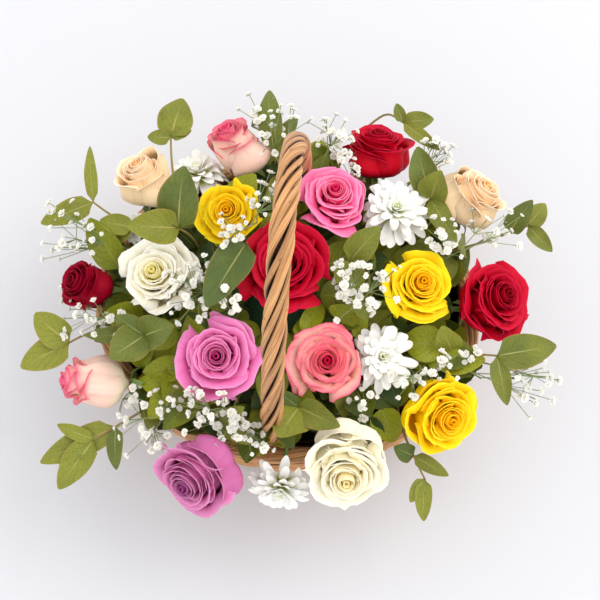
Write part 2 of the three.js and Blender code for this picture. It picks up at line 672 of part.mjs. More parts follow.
// A leaf's tip, moved until its middle line and both sides lie outside every head's ball.
function tipClear(base, tip, width) {
  const end = tip.clone();
  for (let pass = 0; pass < 40; pass += 1) {
    const side = end.clone().sub(base).cross(new THREE.Vector3(0, 0, 1)).setLength(width / 2);
    const half = base.clone().lerp(end, 0.55);
    const marks = [end, base.clone().lerp(end, 0.75), half, half.clone().add(side), half.clone().sub(side)];
    for (const spec of HEADS) {
      for (const mark of marks) {
        const away = mark.clone().sub(vec(spec.at));
        const short = headRadius(spec) * HEAD_ROOM + 2 * LEAF - away.length();
        if (short > 0) end.add(away.setLength(short));
      }
    }
  }
  return end;
}

// A round leaf: an arched sheet on a short stalk, widest past its middle, cupped about its rib.
function leaf(base, tip, width, thickness) {
  const along = tip.clone().sub(base);
  const length = along.length();
  along.normalize();
  const up = new THREE.Vector3(-0.15, -0.25, 1);
  const side = along.clone().cross(up).normalize();
  const normal = side.clone().cross(along);
  return blade((u, v) => {
    const outline = v < 0.02 || v > 0.98 ? 0 : 1;
    const sheet = base.clone().addScaledVector(along, lerp(-0.3, length, v));
    sheet.addScaledVector(side, (u * outline * width) / 2);
    const lift = LEAF_ARCH * length * Math.sin(Math.PI * v) + LEAF_CUP * width * u * u * outline;
    return sheet.addScaledVector(normal, lift);
  }, thickness, 2, 3);
}

function eucalyptusSprig({ root, branches }) {
  const { cut, rise } = standing(...root, SPRIG_STEM, 3);
  const parts = [];
  const routes = [];
  const leafLines = [];
  branches.forEach(({ path, leaves }, branch) => {
    const knots = [rise, ...path.map(vec)];
    const reached = route(knots, SPRIG_STEM, null, knots.length + 1);
    routes.push(reached);
    parts.push(tube(branch === 0 ? [cut, ...reached] : reached, SPRIG_STEM, 3));
    for (const [knot, tip, width] of leaves) {
      const near = knots[knot];
      const nearest = reached.reduce((best, p) => (p.distanceTo(near) < best.distanceTo(near) ? p : best));
      const base = nearest.clone();
      if (nearest === reached.at(-1)) base.add(reached.at(-2).clone().sub(base).setLength(SPRIG_STEM));
      const end = tipClear(base, vec(tip), width);
      leafLines.push([base.clone().lerp(end, 0.3), base.clone().lerp(end, 0.8)]);
      parts.push(leaf(base, end, width, LEAF));
    }
  });
  routes.forEach((reached) => lay(reached, SPRIG_STEM));
  leafLines.forEach((line) => lay(line, LEAF_ROOM));
  return joined(parts);
}

// A floret: a four-petalled rosette with a thick middle, turned by `spin`.
function floret(middle, aim, size, spin) {
  const geometry = new THREE.SphereGeometry(size / 2, 8, 2);
  moveVertices(geometry, (p) => {
    const angle = Math.atan2(p.z, p.x);
    const star = 0.78 + 0.22 * Math.cos(4 * angle);
    p.set(p.x * star, p.y * 0.45, p.z * star);
  });
  geometry.rotateX(Math.PI / 2).rotateZ(spin);
  const turn = new THREE.Quaternion().setFromUnitVectors(new THREE.Vector3(0, 0, 1), aim);
  geometry.applyMatrix4(new THREE.Matrix4().compose(middle, turn, new THREE.Vector3(1, 1, 1)));
  return solid(geometry);
}

function gypsophilaSpray({ root, branches }) {
  const { cut, rise } = standing(...root, SPRAY_STEM, 3);
  const parts = [];
  const routes = [];
  branches.forEach(([fork, ...twigs], branch) => {
    const reached = route([rise, vec(fork)], SPRAY_STEM, null, 4);
    routes.push(reached);
    parts.push(tube(branch === 0 ? [cut, ...reached] : reached, SPRAY_STEM, 3));
    const [low, high] = reached.slice(-2);
    twigs.forEach((twig, i) => {
      const end = vec(twig);
      const start = low.clone().lerp(high, 0.96 - (0.8 * i) / twigs.length);
      parts.push(tube([start, end], TWIG, 3));
      const aim = end.clone().sub(start).normalize().add(new THREE.Vector3(0, 0, 1)).normalize();
      const beside = new THREE.Vector3(Math.cos(i), Math.sin(i), 0).multiplyScalar(2 * TWIG);
      parts.push(floret(end.clone().add(beside), aim, FLORET, i + branch));
    });
  });
  routes.forEach((reached) => lay(reached, SPRAY_STEM));
  return joined(parts);
}

// ---- Assembly ----
const arrangement = new THREE.Group();
arrangement.name = "flower_basket_arrangement";

function show(name, body, colour, roughness) {
  const material = new THREE.MeshStandardMaterial({ color: COLOURS[colour], roughness, metalness: 0 });
  const mesh = new THREE.Mesh(geometryOf(body), material);
  mesh.name = name;
  arrangement.add(mesh);
}

const made = [];

// Cuts away what would still cross the pieces made so far, and keeps the largest piece.
function fitted(body, clearance) {
  const box = body.boundingBox();
  let kept = body;
  for (const other of clearance) {
    const limits = other.boundingBox();
    const meets = (axis) => box.min[axis] <= limits.max[axis] && box.max[axis] >= limits.min[axis];
    if ([0, 1, 2].every(meets)) kept = kept.subtract(other);
  }
  return largest(kept);
}

const handleLine = [];
for (let step = 0; step <= 12; step += 1) {
  const turn = (Math.PI * step) / 12;
  const rise = HANDLE_SPRING + HANDLE_RISE * Math.sin(turn);
  handleLine.push(new THREE.Vector3(0, -HANDLE_HALF_SPAN * Math.cos(turn), rise));
}
lay(handleLine, HANDLE_RADIUS);
const rodClearance = handleRod(GAP);
show("basket_body", basketBody(), "willow", 0.8);
show("basket_rim", largest(rimRing().subtract(rodClearance)), "willow", 0.75);
show("handle", handleRod(0), "handle", 0.6);
show("liner_tray", linerTray(), "liner", 0.5);

for (const [name, spec] of Object.entries(ROSES)) {
  const head = placed(roseHead(spec, HEADS.indexOf(spec) * 1.7), spec);
  show(`rose_${name}`, press(head, spec), spec.colour, 0.55);
}
for (const [name, spec] of Object.entries(CHRYSANTHEMUMS)) {
  const head = placed(chrysanthemumHead(spec, HEADS.indexOf(spec) * 1.15), spec);
  show(`chrysanthemum_${name}`, press(head, spec), "floret", 0.6);
}

for (const [name, spec] of Object.entries(ROSES)) {
  const stem = roseStem(spec);
  made.push(stem);
  show(`stem_${name}`, stem, "stem", 0.6);
}
const SPRAY_ROOTS = { right: [62, 22], front: [6, -70], left: [-80, 58] };
for (const [spray, root] of Object.entries(SPRAY_ROOTS)) {
  const specs = Object.values(CHRYSANTHEMUMS).filter((spec) => spec.spray === spray);
  const stem = chrysanthemumSpray(specs, root);
  made.push(stem);
  show(`chrysanthemum_spray_${spray}`, stem, "stem", 0.6);
}
const fixed = [...HEADS.map(headRoom), rodClearance];
for (const [name, sprig] of Object.entries(EUCALYPTUS)) {
  const body = fitted(eucalyptusSprig(sprig), [...fixed, ...made]);
  made.push(body);
  show(`eucalyptus_${name}`, body, "eucalyptus", 0.6);
}
for (const [name, spray] of Object.entries(GYPSOPHILA)) {
  const body = fitted(gypsophilaSpray(spray), [...fixed, ...made]);
  made.push(body);
  show(`gypsophila_${name}`, body, "floret", 0.7);
}
show("foam", largest(foamBlock().subtract(holes.reduce((all, hole) => all.add(hole)))), "foam", 0.9);

export default arrangement;
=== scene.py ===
"""An oval willow basket with a twisted arch handle, filled with roses, spray chrysanthemums,
eucalyptus and gypsophila.

Every new piece is a surface of two parameters worked out with numpy, in the basket's own frame:
metres, X right, Y back, Z up, origin under the middle of the base."""

import bpy
import numpy as np
from bpy.props import FloatProperty, FloatVectorProperty, IntProperty, PointerProperty
from mathutils import Matrix, Vector


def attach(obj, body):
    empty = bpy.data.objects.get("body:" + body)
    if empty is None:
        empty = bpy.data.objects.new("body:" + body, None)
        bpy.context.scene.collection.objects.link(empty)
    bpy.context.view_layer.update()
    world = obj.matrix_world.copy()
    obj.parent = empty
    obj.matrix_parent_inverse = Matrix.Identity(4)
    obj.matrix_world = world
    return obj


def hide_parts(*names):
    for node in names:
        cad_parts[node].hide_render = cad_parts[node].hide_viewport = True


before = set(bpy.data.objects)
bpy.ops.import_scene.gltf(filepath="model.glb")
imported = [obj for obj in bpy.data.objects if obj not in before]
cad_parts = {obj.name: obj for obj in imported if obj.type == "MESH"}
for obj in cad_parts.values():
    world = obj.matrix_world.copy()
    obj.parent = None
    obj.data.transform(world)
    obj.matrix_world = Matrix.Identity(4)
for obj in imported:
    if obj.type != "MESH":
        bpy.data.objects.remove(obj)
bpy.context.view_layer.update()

bl_info = {
    "name": "Flower Basket",
    "version": (1, 0, 0),
    "blender": (4, 5, 0),
    "location": "View3D > Sidebar > Flower Basket",
    "description": "Dresses a willow basket with roses, chrysanthemums, eucalyptus and gypsophila",
    "category": "Add Mesh",
}

# ---- Sizes shared with the solids ----
MM = 0.001
OVAL = 0.8  # the basket's depth over its width
BASE_HALF = 140 * MM
WALL_HALF = 152 * MM
WALL_HEIGHT = 107 * MM
WALL_BELLY = 3 * MM
WALL = 5 * MM  # thickness
WEAVE_DEPTH = 2.3 * MM  # how far a band of weavers bows out over one stake and in behind the next
STAKES = 40
WEAVER_BANDS = 5
ROWS_IN_BAND = 4
BASE_STICKS = 24
RIM_HALF = 150 * MM
RIM_WIDTH = 8 * MM
HANDLE_HALF_SPAN = 107.5 * MM
HANDLE_SPRING = 115 * MM  # height where the straight legs end and the arch begins
HANDLE_RISE = 270 * MM
HANDLE_FOOT = 30 * MM  # height of the legs' lower ends
HANDLE_LEAN = 8 * MM  # how far in the legs' lower ends stand
HANDLE_ARCH = 645 * MM  # length of rod that bends over the arch
HANDLE_TWIST = 2 * np.pi / (190 * MM)  # one turn of the twist in 190 mm of rod
FOAM_HALF = 113.7 * MM
FOAM_SHOULDER = 110 * MM
FOAM_TOP = 132 * MM
GAP = 0.3 * MM  # between pieces that touch
SOCKET_DEPTH = 34 * MM  # of a stem in the foam
STEM_AIM = -150 * MM  # height of the point that every stem in the foam points away from
CALYX_DROP = 0.44  # depth of a rose's base below its middle, over its length
DAISY_DROP = 0.3  # depth of a chrysanthemum's base below its middle, over its width

# Radii that the stems are routed with, a leaf's thickness, and the room that stems keep from
# leaves, from the handle's middle line, from the heads' balls and from each other.
ROSE_STEM = 2.4 * MM
CHRYSANTHEMUM_STEM = 1.8 * MM
SPRIG_STEM = 1.5 * MM
SPRAY_STEM = 1.1 * MM
LEAF = 1.1 * MM
LEAF_ROOM = 4 * MM
HANDLE_ROOM = 9.5 * MM
HEAD_ROOM = 1.06  # over the ball's radius
HEAD_GAP = 2.5 * MM
STEM_GAP = 1.6 * MM

# How far out a stem's foot stands in the foam: the share of what its top lies out, and the most
# that it may, over the foam's half width.
ROSE_FEET = (0.78, 0.80)
LOW_FEET = (0.70, 0.76)

# What each group's random draws start from.
SEEDS = {"wall": 11, "rim": 12, "handle": 13, "fill": 21, "roses": 100, "chrysanthemums": 200,
         "stems": 300, "eucalyptus": 400, "gypsophila": 500, "tufts": 520}

# Blooms, in millimetres: middle of the head, the way it faces (degrees from +X towards +Y, and
# tilt from straight up), diameter, length over diameter, and colour.
ROSES = {
    "bicolour_back": ((-56, 120, 158), 128, 44, 54, 1.05, "bicolour"),
    "peach_left": ((-125, 86, 151), 135, 40, 54, 1.0, "peach"),
    "yellow_left": ((-52, 58, 180), 230, 14, 55, 0.8, "yellow"),
    "white_left": ((-103, 3, 167), 180, 14, 69, 0.72, "white"),
    "dark_red": ((-162, -6, 148), 180, 38, 51, 0.95, "dark_red"),
    "bicolour_left": ((-146, -83, 144), 186, 78, 50, 1.35, "bicolour"),
    "mauve_centre": ((-47, -60, 178), 260, 12, 69, 0.72, "mauve"),
    "mauve_front": ((-55, -149, 150), 238, 56, 70, 0.82, "dusky"),
    "red_centre": ((-2, 16, 190), 250, 8, 76, 0.74, "red"),
    "pink": ((29, 78, 180), 80, 14, 61, 0.78, "pink"),
    "red_back": ((59, 132, 152), 84, 48, 61, 0.8, "red"),
    "coral": ((38, -55, 178), 270, 8, 65, 0.78, "coral"),
    "yellow_right": ((103, 14, 175), 20, 12, 62, 0.78, "yellow"),
    "red_right": ((164, 15, 157), 10, 34, 72, 0.78, "red"),
    "yellow_front": ((132, -82, 156), 315, 38, 66, 0.8, "yellow"),
    "white_front": ((61, -132, 161), 275, 46, 76, 0.82, "ivory"),
    "peach_right": ((142, 98, 151), 45, 46, 58, 0.9, "peach"),
}
CHRYSANTHEMUMS = {
    "right_back": ((79, 76, 170), 60, 12, 60, 0.7, "right"),
    "right_front": ((80, -44, 168), 300, 10, 54, 0.7, "right"),
    "front": ((11, -149, 131), 268, 62, 50, 0.7, "front"),
    "back_left": ((-84, 98, 147), 115, 38, 54, 0.7, "left"),
    "left": ((-129, 50, 143), 170, 45, 30, 0.7, "left"),
}
SPRAY_ROOTS = {"right": (62, 22), "front": (6, -70), "left": (-80, 58)}

# Eucalyptus: each sprig stands at its root on the foam; each branch runs through its points, and
# each leaf is (point of the branch it grows from, tip, width).
EUCALYPTUS = {
    "back_left": ((-66, 44), [
        ([(-84, 72, 150), (-98, 110, 160), (-108, 121, 165)],
         [(3, (-102, 152, 172), 30), (3, (-128, 112, 160), 13), (2, (-92, 128, 166), 10)]),
        ([(-112, 40, 146), (-137, 45, 150), (-166, 64, 150)],
         [(3, (-173, 108, 158), 11), (3, (-205, 42, 146), 20), (2, (-136, 78, 152), 17),
          (2, (-160, 28, 142), 15)]),
    ]),
    "centre_left": ((-66, 26), [
        ([(-76, 34, 168), (-90, 37, 192)], [(2, (-82, 80, 206), 34), (2, (-126, 24, 202), 28)]),
        ([(-50, 24, 176), (-34, 30, 194)], [(2, (-40, -18, 206), 32)]),
    ]),
    "left": ((-74, -32), [
        ([(-94, -44, 148), (-108, -48, 172)],
         [(2, (-128, -30, 180), 20), (2, (-84, -28, 188), 28), (2, (-137, -76, 166), 30),
          (1, (-156, -54, 158), 18)]),
        ([(-120, -38, 138), (-146, -44, 144), (-170, -54, 144)],
         [(3, (-199, -34, 150), 26), (3, (-192, -80, 142), 26)]),
    ]),
    "front_left": ((-52, -58), [
        ([(-86, -84, 142), (-122, -112, 136), (-141, -128, 134)],
         [(2, (-168, -98, 142), 24), (3, (-170, -116, 134), 12), (3, (-164, -168, 124), 24),
          (2, (-120, -148, 126), 14), (1, (-98, -116, 142), 22)]),
        ([(-60, -84, 150), (-40, -108, 158)],
         [(1, (-84, -92, 160), 20), (2, (-16, -126, 164), 14), (2, (-44, -134, 162), 14)]),
    ]),
    "front": ((10, -62), [
        ([(14, -76, 158), (20, -92, 172)],
         [(2, (32, -132, 176), 34), (2, (62, -92, 178), 22), (2, (0, -82, 182), 12)]),
    ]),
    "right": ((84, -26), [
        ([(96, -66, 142), (108, -112, 144), (124, -132, 138)],
         [(2, (84, -116, 152), 16), (2, (142, -124, 144), 13), (3, (114, -150, 134), 12),
          (3, (126, -163, 128), 14)]),
        ([(112, -30, 150), (136, -30, 164), (171, -32, 164)],
         [(2, (122, -4, 174), 22), (3, (208, -14, 170), 28), (3, (182, -68, 152), 16),
          (2, (146, -58, 158), 26)]),
    ]),
    "back_right": ((82, 44), [
        ([(112, 48, 146), (143, 56, 152), (169, 66, 156), (188, 81, 154)],
         [(3, (168, 102, 164), 18), (4, (199, 100, 156), 18), (4, (208, 62, 150), 14),
          (2, (136, 78, 160), 22)]),
        ([(96, 62, 148), (106, 92, 164)],
         [(2, (84, 112, 174), 24), (2, (128, 104, 170), 26), (2, (118, 62, 172), 18)]),
    ]),
    "back": ((10, 58), [
        ([(-8, 92, 160), (-24, 118, 168)],
         [(1, (-24, 66, 200), 28), (2, (-8, 150, 164), 14), (2, (-46, 156, 160), 20)]),
        ([(34, 104, 140), (62, 152, 152), (79, 158, 152)],
         [(3, (70, 170, 154), 10), (3, (103, 164, 152), 16), (3, (98, 132, 156), 12)]),
        ([(30, 40, 160), (48, 28, 178)],
         [(2, (36, -6, 196), 26), (2, (68, 54, 194), 24), (2, (90, -12, 180), 26)]),
    ]),
}

# Gypsophila: each spray stands at its root; each branch runs to its first point and forks there
# to the others.
GYPSOPHILA = {
    "left": ((-86, 12), [
        [(-140, 30, 152), (-186, 46, 166), (-166, 28, 160), (-186, 24, 146)],
        [(-134, -32, 150), (-172, -20, 146), (-150, -36, 160), (-174, -36, 152)],
    ]),
    "centre_left": ((-48, 4), [
        [(-62, -10, 180), (-80, -8, 204), (-60, 4, 204), (-44, -14, 206), (-74, -26, 200)],
        [(-27, 42, 212), (-28, 72, 216), (-22, 58, 222), (-46, 32, 220)],
    ]),
    "front_left": ((-30, -66), [
        [(-90, -106, 146), (-114, -112, 150), (-97, -128, 148), (-88, -98, 164)],
        [(-32, -102, 162), (-62, -100, 182), (-42, -98, 188), (-28, -116, 178), (-10, -124, 172)],
    ]),
    "back": ((-12, 70), [
        [(-22, 122, 170), (-42, 150, 168), (-26, 138, 186), (-8, 142, 182)],
        [(20, 124, 170), (16, 146, 172), (28, 130, 188)],
        [(96, 112, 150), (102, 140, 158), (116, 128, 160)],
    ]),
    "right": ((66, 4), [
        [(56, -10, 188), (56, -14, 210), (72, 8, 206), (47, 8, 214)],
        [(134, 50, 168), (152, 76, 170), (172, 70, 168), (116, 56, 190)],
        [(116, -54, 160), (128, -44, 178), (100, -66, 184)],
        [(160, -48, 148), (188, -46, 156), (214, -42, 154), (204, -60, 148)],
    ]),
}

# More tufts of gypsophila between the blooms, in millimetres: middle, spread of the florets, and
# how many.
TUFTS = [
    ((-137, -40, 154), 9, 12), ((-176, 34, 154), 12, 8), ((-95, -115, 148), 13, 16),
    ((-122, -92, 146), 9, 9), ((-47, -108, 168), 13, 16), ((-18, -106, 162), 6, 6),
    ((-66, -8, 186), 12, 12), ((-46, 24, 206), 5, 5), ((-26, 130, 172), 13, 16),
    ((-45, 142, 166), 9, 9), ((21, 130, 172), 10, 12), ((104, 128, 164), 8, 8),
    ((158, 72, 160), 8, 9), ((121, 48, 178), 9, 8), ((52, 6, 188), 14, 16),
    ((70, -78, 168), 10, 10), ((122, -64, 166), 6, 6), ((154, -32, 162), 6, 6),
    ((202, -39, 152), 13, 9), ((40, 104, 174), 7, 6),
]


def linear(red, green, blue):
    """A colour seen on a screen (0 to 255) as the light it stands for."""
    shown = np.array([red, green, blue]) / 255
    light = np.where(shown > 0.04045, ((shown + 0.055) / 1.055) ** 2.4, shown / 12.92)
    return tuple(round(float(part), 4) for part in light)


# Each rose colour: heart, middle of the petals, their rolled rims, and their feet, as they are
# seen on a screen. The darker hearts and feet are the roses' own colour and also painted shade
# of the bloom's depths and of the creases at the petals' feet.
SPOTS = ("heart", "middle", "rim", "foot")
PETALS = {
    "bicolour": ((228, 62, 116), (250, 206, 188), (234, 92, 132), (250, 234, 198)),
    "peach": ((252, 194, 124), (255, 220, 176), (255, 232, 202), (252, 236, 200)),
    "yellow": ((255, 182, 0), (255, 208, 4), (255, 222, 36), (255, 192, 0)),
    "white": ((250, 236, 146), (255, 248, 224), (255, 251, 238), (252, 242, 200)),
    "ivory": ((254, 234, 172), (255, 246, 216), (255, 250, 230), (252, 240, 200)),
    "dark_red": ((98, 0, 18), (150, 0, 30), (152, 8, 42), (84, 0, 14)),
    "red": ((140, 0, 18), (190, 0, 30), (200, 16, 54), (112, 0, 14)),
    "mauve": ((190, 34, 106), (234, 108, 174), (244, 152, 202), (228, 150, 184)),
    "dusky": ((150, 60, 124), (202, 108, 160), (224, 146, 190), (196, 64, 120)),
    "pink": ((230, 14, 90), (252, 98, 158), (255, 156, 194), (250, 190, 200)),
    "coral": ((226, 0, 66), (255, 196, 180), (246, 92, 126), (255, 216, 182)),
}


# ---- Small helpers ----
def unit(arrows):
    """Arrows of length one."""
    return arrows / np.maximum(np.linalg.norm(arrows, axis=-1, keepdims=True), 1e-12)


def lerp(start, end, share):
    """The point that share of the way from start to end."""
    return start + (end - start) * share


def smooth(share):
    """0 below 0 and 1 above 1, joined by 3 x squared less 2 x cubed."""
    held = np.clip(share, 0, 1)
    return held * held * (3 - 2 * held)


def turn_to(aim):
    """The shortest turn that carries +Z onto aim: I + K + K squared / (1 + cosine)."""
    x, y, z = aim
    cross = np.array([[0, 0, x], [0, 0, y], [-x, -y, 0]])
    return np.eye(3) + cross + cross @ cross / (1 + z)


def oval(turn, half, height):
    """Points at an angle round the basket on an oval of the given half width."""
    return np.stack(np.broadcast_arrays(half * np.cos(turn), OVAL * half * np.sin(turn), height), -1)


def oval_share(point, half):
    """How far out a point lies: 0 in the middle and 1 on the oval of that half width."""
    return np.hypot(point[0] / half, point[1] / (half * OVAL))


def swung(out, side, height, angle):
    """Points so far out from the Z axis, to the side and up, turned by an angle about that axis."""
    return np.stack(np.broadcast_arrays(out * np.cos(angle) - side * np.sin(angle),
                                        out * np.sin(angle) + side * np.cos(angle), height), -1)


def draws_for(group, number=0):
    """The random draws of a group's piece, the same in every run."""
    return np.random.default_rng(SEEDS[group] + number)


class Bloom:
    """A head from one of the tables: its middle, the way it faces, its sizes in metres."""

    def __init__(self, name, row, number):
        at, faces, tilt, size, length, self.kind = row
        self.name = name
        self.number = number
        self.at = np.array(at) * MM
        self.size = size * MM
        self.length = length
        self.tall = length * self.size
        around, lean = np.radians(faces), np.radians(tilt)
        self.open = float(np.clip((1 - length) / 0.22, 0, 1) * lerp(1, 0.45, smooth((tilt - 20) / 30)))
        self.aim = swung(np.sin(lean), 0, np.cos(lean), around)
        self.radius = self.size / 2 * max(1, length * 0.95)

    def place(self, points):
        """Points about +Z carried onto the head's own place."""
        return points @ turn_to(self.aim).T + self.at

    def base(self, drop):
        """The point under the head where its stem begins, that far below its middle."""
        return self.at - self.aim * (drop + GAP)


ROSE_HEADS = [Bloom(name, row, i) for i, (name, row) in enumerate(ROSES.items())]
MUM_HEADS = [Bloom(name, row, len(ROSES) + i) for i, (name, row) in enumerate(CHRYSANTHEMUMS.items())]
HEADS = ROSE_HEADS + MUM_HEADS
HEAD_AT = np.array([head.at for head in HEADS])
HEAD_RADIUS = np.array([head.radius for head in HEADS])


def press(points, head):
    """Neighbouring heads press each other flat: past a soft limit on the line between two heads,
    the distance grows only as soft * (1 - e^(-over / soft))."""
    soft = 7 * MM
    for other in HEADS:
        between = other.at - head.at
        distance = np.linalg.norm(between)
        if other is head or distance > 1.1 * (head.radius + other.radius):
            continue
        normal = between / distance
        limit = distance * head.radius / (head.radius + other.radius) - GAP
        over = (points - head.at) @ normal - (limit - soft)
        back = np.where(over > 0, soft * (1 - np.exp(-np.maximum(over, 0) / soft)) - over, 0)
        points = points + back[..., None] * normal
    return points


# ---- Routes of stems: the same rule as the solids follow ----
def foam_height(point):
    """The foam's domed top: a parabola from its middle to its shoulder."""
    return lerp(FOAM_TOP, FOAM_SHOULDER, min(oval_share(point, FOAM_HALF), 1) ** 2)


def handle_line(turn):
    """The arch's middle line: half an ellipse in the YZ plane over the two feet."""
    turn = np.asarray(turn, float)
    return np.stack([0 * turn, -HANDLE_HALF_SPAN * np.cos(turn),
                     HANDLE_SPRING + HANDLE_RISE * np.sin(turn)], -1)


class Laid:
    """The handle and every stem so far, as straight lines with a radius."""

    def __init__(self):
        self.start = np.zeros((0, 3))
        self.end = np.zeros((0, 3))
        self.radius = np.zeros(0)

    def lay(self, path, radius):
        """Adds a path of that radius, so that what comes later keeps clear of it."""
        path = np.asarray(path)
        self.start = np.vstack([self.start, path[:-1]])
        self.end = np.vstack([self.end, path[1:]])
        self.radius = np.concatenate([self.radius, np.full(len(path) - 1, radius)])

    def dodge(self, point, radius, own):
        """How far a point must move to clear the heads but its own, the stems so far, rim and foam:
        the sum of what it lacks from each, straight away from it."""
        along = self.end - self.start
        share = ((point - self.start) * along).sum(1) / (along * along).sum(1)
        nearest = self.start + np.clip(share, 0, 1)[:, None] * along
        centres = np.vstack([HEAD_AT, nearest])
        clear = np.concatenate([HEAD_RADIUS * HEAD_ROOM + radius + HEAD_GAP,
                                self.radius + radius + STEM_GAP])
        if own is not None:
            clear[own] = 0
        away = point - centres
        far = np.maximum(np.linalg.norm(away, axis=1), 1e-9)
        shift = (away * (np.maximum(clear - far, 0) / far)[:, None]).sum(0)
        out = oval_share(point, RIM_HALF)
        rim_inside, rim_outside = 0.88, 1.14
        floor = 0
        if rim_inside < out < rim_outside:
            floor = WALL_HEIGHT + 2 * RIM_WIDTH + radius + 1.5 * MM
        if out <= rim_inside:
            floor = foam_height(point) + radius + 0.8 * MM
        shift[2] += max(floor - point[2], 0)
        return shift


def spline(points, shares):
    """A smooth curve through the points, at shares from 0 to 1 of its spans: each span is a cubic
    whose slopes at its ends come from its neighbours, weighed by the roots of their lengths."""
    points = np.asarray(points, float)
    ends = np.vstack([2 * points[0] - points[1], points, 2 * points[-1] - points[-2]])
    place = np.asarray(shares) * (len(points) - 1)
    span = np.minimum(place.astype(int), len(points) - 2)
    t = (place - span)[:, None]
    p0, p1, p2, p3 = (ends[span + i] for i in range(4))
    d0, d1, d2 = (np.sqrt(np.linalg.norm(b - a, axis=1))[:, None] for a, b in ((p0, p1), (p1, p2), (p2, p3)))
    leave = ((p1 - p0) / d0 - (p2 - p0) / (d0 + d1) + (p2 - p1) / d1) * d1
    arrive = ((p2 - p1) / d1 - (p3 - p1) / (d1 + d2) + (p3 - p2) / d2) * d1
    return (p1 + leave * t + (3 * (p2 - p1) - 2 * leave - arrive) * t**2
            + (2 * (p1 - p2) + leave + arrive) * t**3)


def route(laid, points, radius, own, steps):
    """A path through the points whose bends are moved clear of everything laid before it: each
    sweep draws them towards their neighbours, until the last ones, and then moves them clear."""
    path = spline(points, np.linspace(0, 1, steps + 1))
    last = len(path) - 1
    sweeps, drawn_straight = 40, 30
    for sweep in range(sweeps):
        for i in range(1, last):
            if sweep < drawn_straight:
                path[i] = lerp(path[i], (path[i - 1] + path[i + 1]) / 2, 0.25)
            path[i] = path[i] + laid.dodge(path[i], radius, own)
        for i in range(1, last + 1):
            shift = 0.8 * laid.dodge((path[i - 1] + path[i]) / 2, radius, own)
            if i > 1:
                path[i - 1] = path[i - 1] + shift
            if i < last:
                path[i] = path[i] + shift
    return path


def drawn_in(point, share, most):
    """The spot under a point, drawn in to that share of what it lies out, and at most so far out
    on the foam."""
    return point[:2] * min(share, most / oval_share(point, FOAM_HALF))


def standing(spot, radius):
    """Where a stem stands at a spot: its cut end in the foam, and where it leaves the foam."""
    top = np.array([*spot, foam_height(spot)])
    up = unit(top - np.array([0, 0, STEM_AIM]))
    return top - up * SOCKET_DEPTH, top + up * (2 * MM + radius)


def tip_clear(base, tip, width):
    """A leaf's tip, moved until its middle line and both sides lie outside every head's ball."""
    end = np.array(tip, float)
    for _ in range(40):
        side = unit(np.cross(end - base, [0, 0, 1])) * width / 2
        half = lerp(base, end, 0.55)
        marks = np.array([end, lerp(base, end, 0.75), half, half + side, half - side])
        for at, radius in zip(HEAD_AT, HEAD_RADIUS):
            away = marks - at
            far = np.linalg.norm(away, axis=1)
            short = np.maximum(radius * HEAD_ROOM + 2 * LEAF - far, 0)
            end = end + (away * (short / far)[:, None]).sum(0)
    return end


class Growth:
    """Every stem, twig and leaf of the arrangement, laid in the order of the solids."""

    def __init__(self):
        self.laid = Laid()
        self.laid.lay(handle_line(np.linspace(0, np.pi, 13)), HANDLE_ROOM)
        self.rose_stems = {head.name: self.rose_stem(head) for head in ROSE_HEADS}
        self.mum_stems = {name: self.mum_spray(name, root) for name, root in SPRAY_ROOTS.items()}
        self.sprigs = {name: self.sprig(*row) for name, row in EUCALYPTUS.items()}
        self.sprays = {name: self.spray(*row) for name, row in GYPSOPHILA.items()}

    def rose_stem(self, head):
        """A stem from its cut end to under the calyx, which it meets square."""
        top = head.base(CALYX_DROP * head.tall)
        cut, rise = standing(drawn_in(top, *ROSE_FEET), ROSE_STEM)
        neck = top - head.aim * 4 * MM
        path = route(self.laid, [rise, neck - head.aim * 8 * MM, neck], ROSE_STEM, head.number, 3)
        self.laid.lay(path, ROSE_STEM)
        return np.vstack([cut, path])

    def mum_spray(self, name, root):
        """A stalk for each head of the spray, all from the one cut end."""
        cut, rise = standing(np.array(root) * MM, CHRYSANTHEMUM_STEM)
        stalks = []
        for head in (head for head in MUM_HEADS if head.kind == name):
            top = head.base(DAISY_DROP * head.size)
            low = top - head.aim * 9 * MM
            bends = route(self.laid, [rise, low], CHRYSANTHEMUM_STEM, head.number, 3)
            stalks.append(np.vstack([bends, top]))
        for stalk in stalks:
            self.laid.lay(stalk, CHRYSANTHEMUM_STEM)
        return [np.vstack([cut, stalk]) for stalk in stalks]

    def sprig(self, root, branches):
        """Twigs of a eucalyptus sprig, and its leaves as (base, tip, width)."""
        cut, rise = standing(np.array(root) * MM, SPRIG_STEM)
        twigs, leaves = [], []
        for path, blades in branches:
            knots = np.vstack([rise, np.array(path) * MM])
            reached = route(self.laid, knots, SPRIG_STEM, None, len(knots) + 1)
            twigs.append(reached)
            for knot, tip, width in blades:
                nearest = np.argmin(np.linalg.norm(reached - knots[knot], axis=1))
                base = reached[nearest]
                if nearest == len(reached) - 1:
                    base = base + unit(reached[-2] - base) * SPRIG_STEM
                end = tip_clear(base, np.array(tip) * MM, width * MM)
                leaves.append((base, end, width * MM))
        for reached in twigs:
            self.laid.lay(reached, SPRIG_STEM)
        for base, end, _ in leaves:
            self.laid.lay([lerp(base, end, 0.3), lerp(base, end, 0.8)], LEAF_ROOM)
        return [np.vstack([cut, reached]) for reached in twigs], leaves

    def spray(self, root, branches):
        """Stalks of a gypsophila spray, and its twigs as (start, end)."""
        cut, rise = standing(np.array(root) * MM, SPRAY_STEM)
        stalks, twigs = [], []
        for points in branches:
            fork, *ends = np.array(points) * MM
            reached = route(self.laid, [rise, fork], SPRAY_STEM, None, 4)
            stalks.append(reached)
            for i, end in enumerate(ends):
                start = lerp(reached[-2], reached[-1], 0.96 - 0.8 * i / len(ends))
                twigs.append((start, end))
        for reached in stalks:
            self.laid.lay(reached, SPRAY_STEM)
        return [np.vstack([cut, reached]) for reached in stalks], twigs


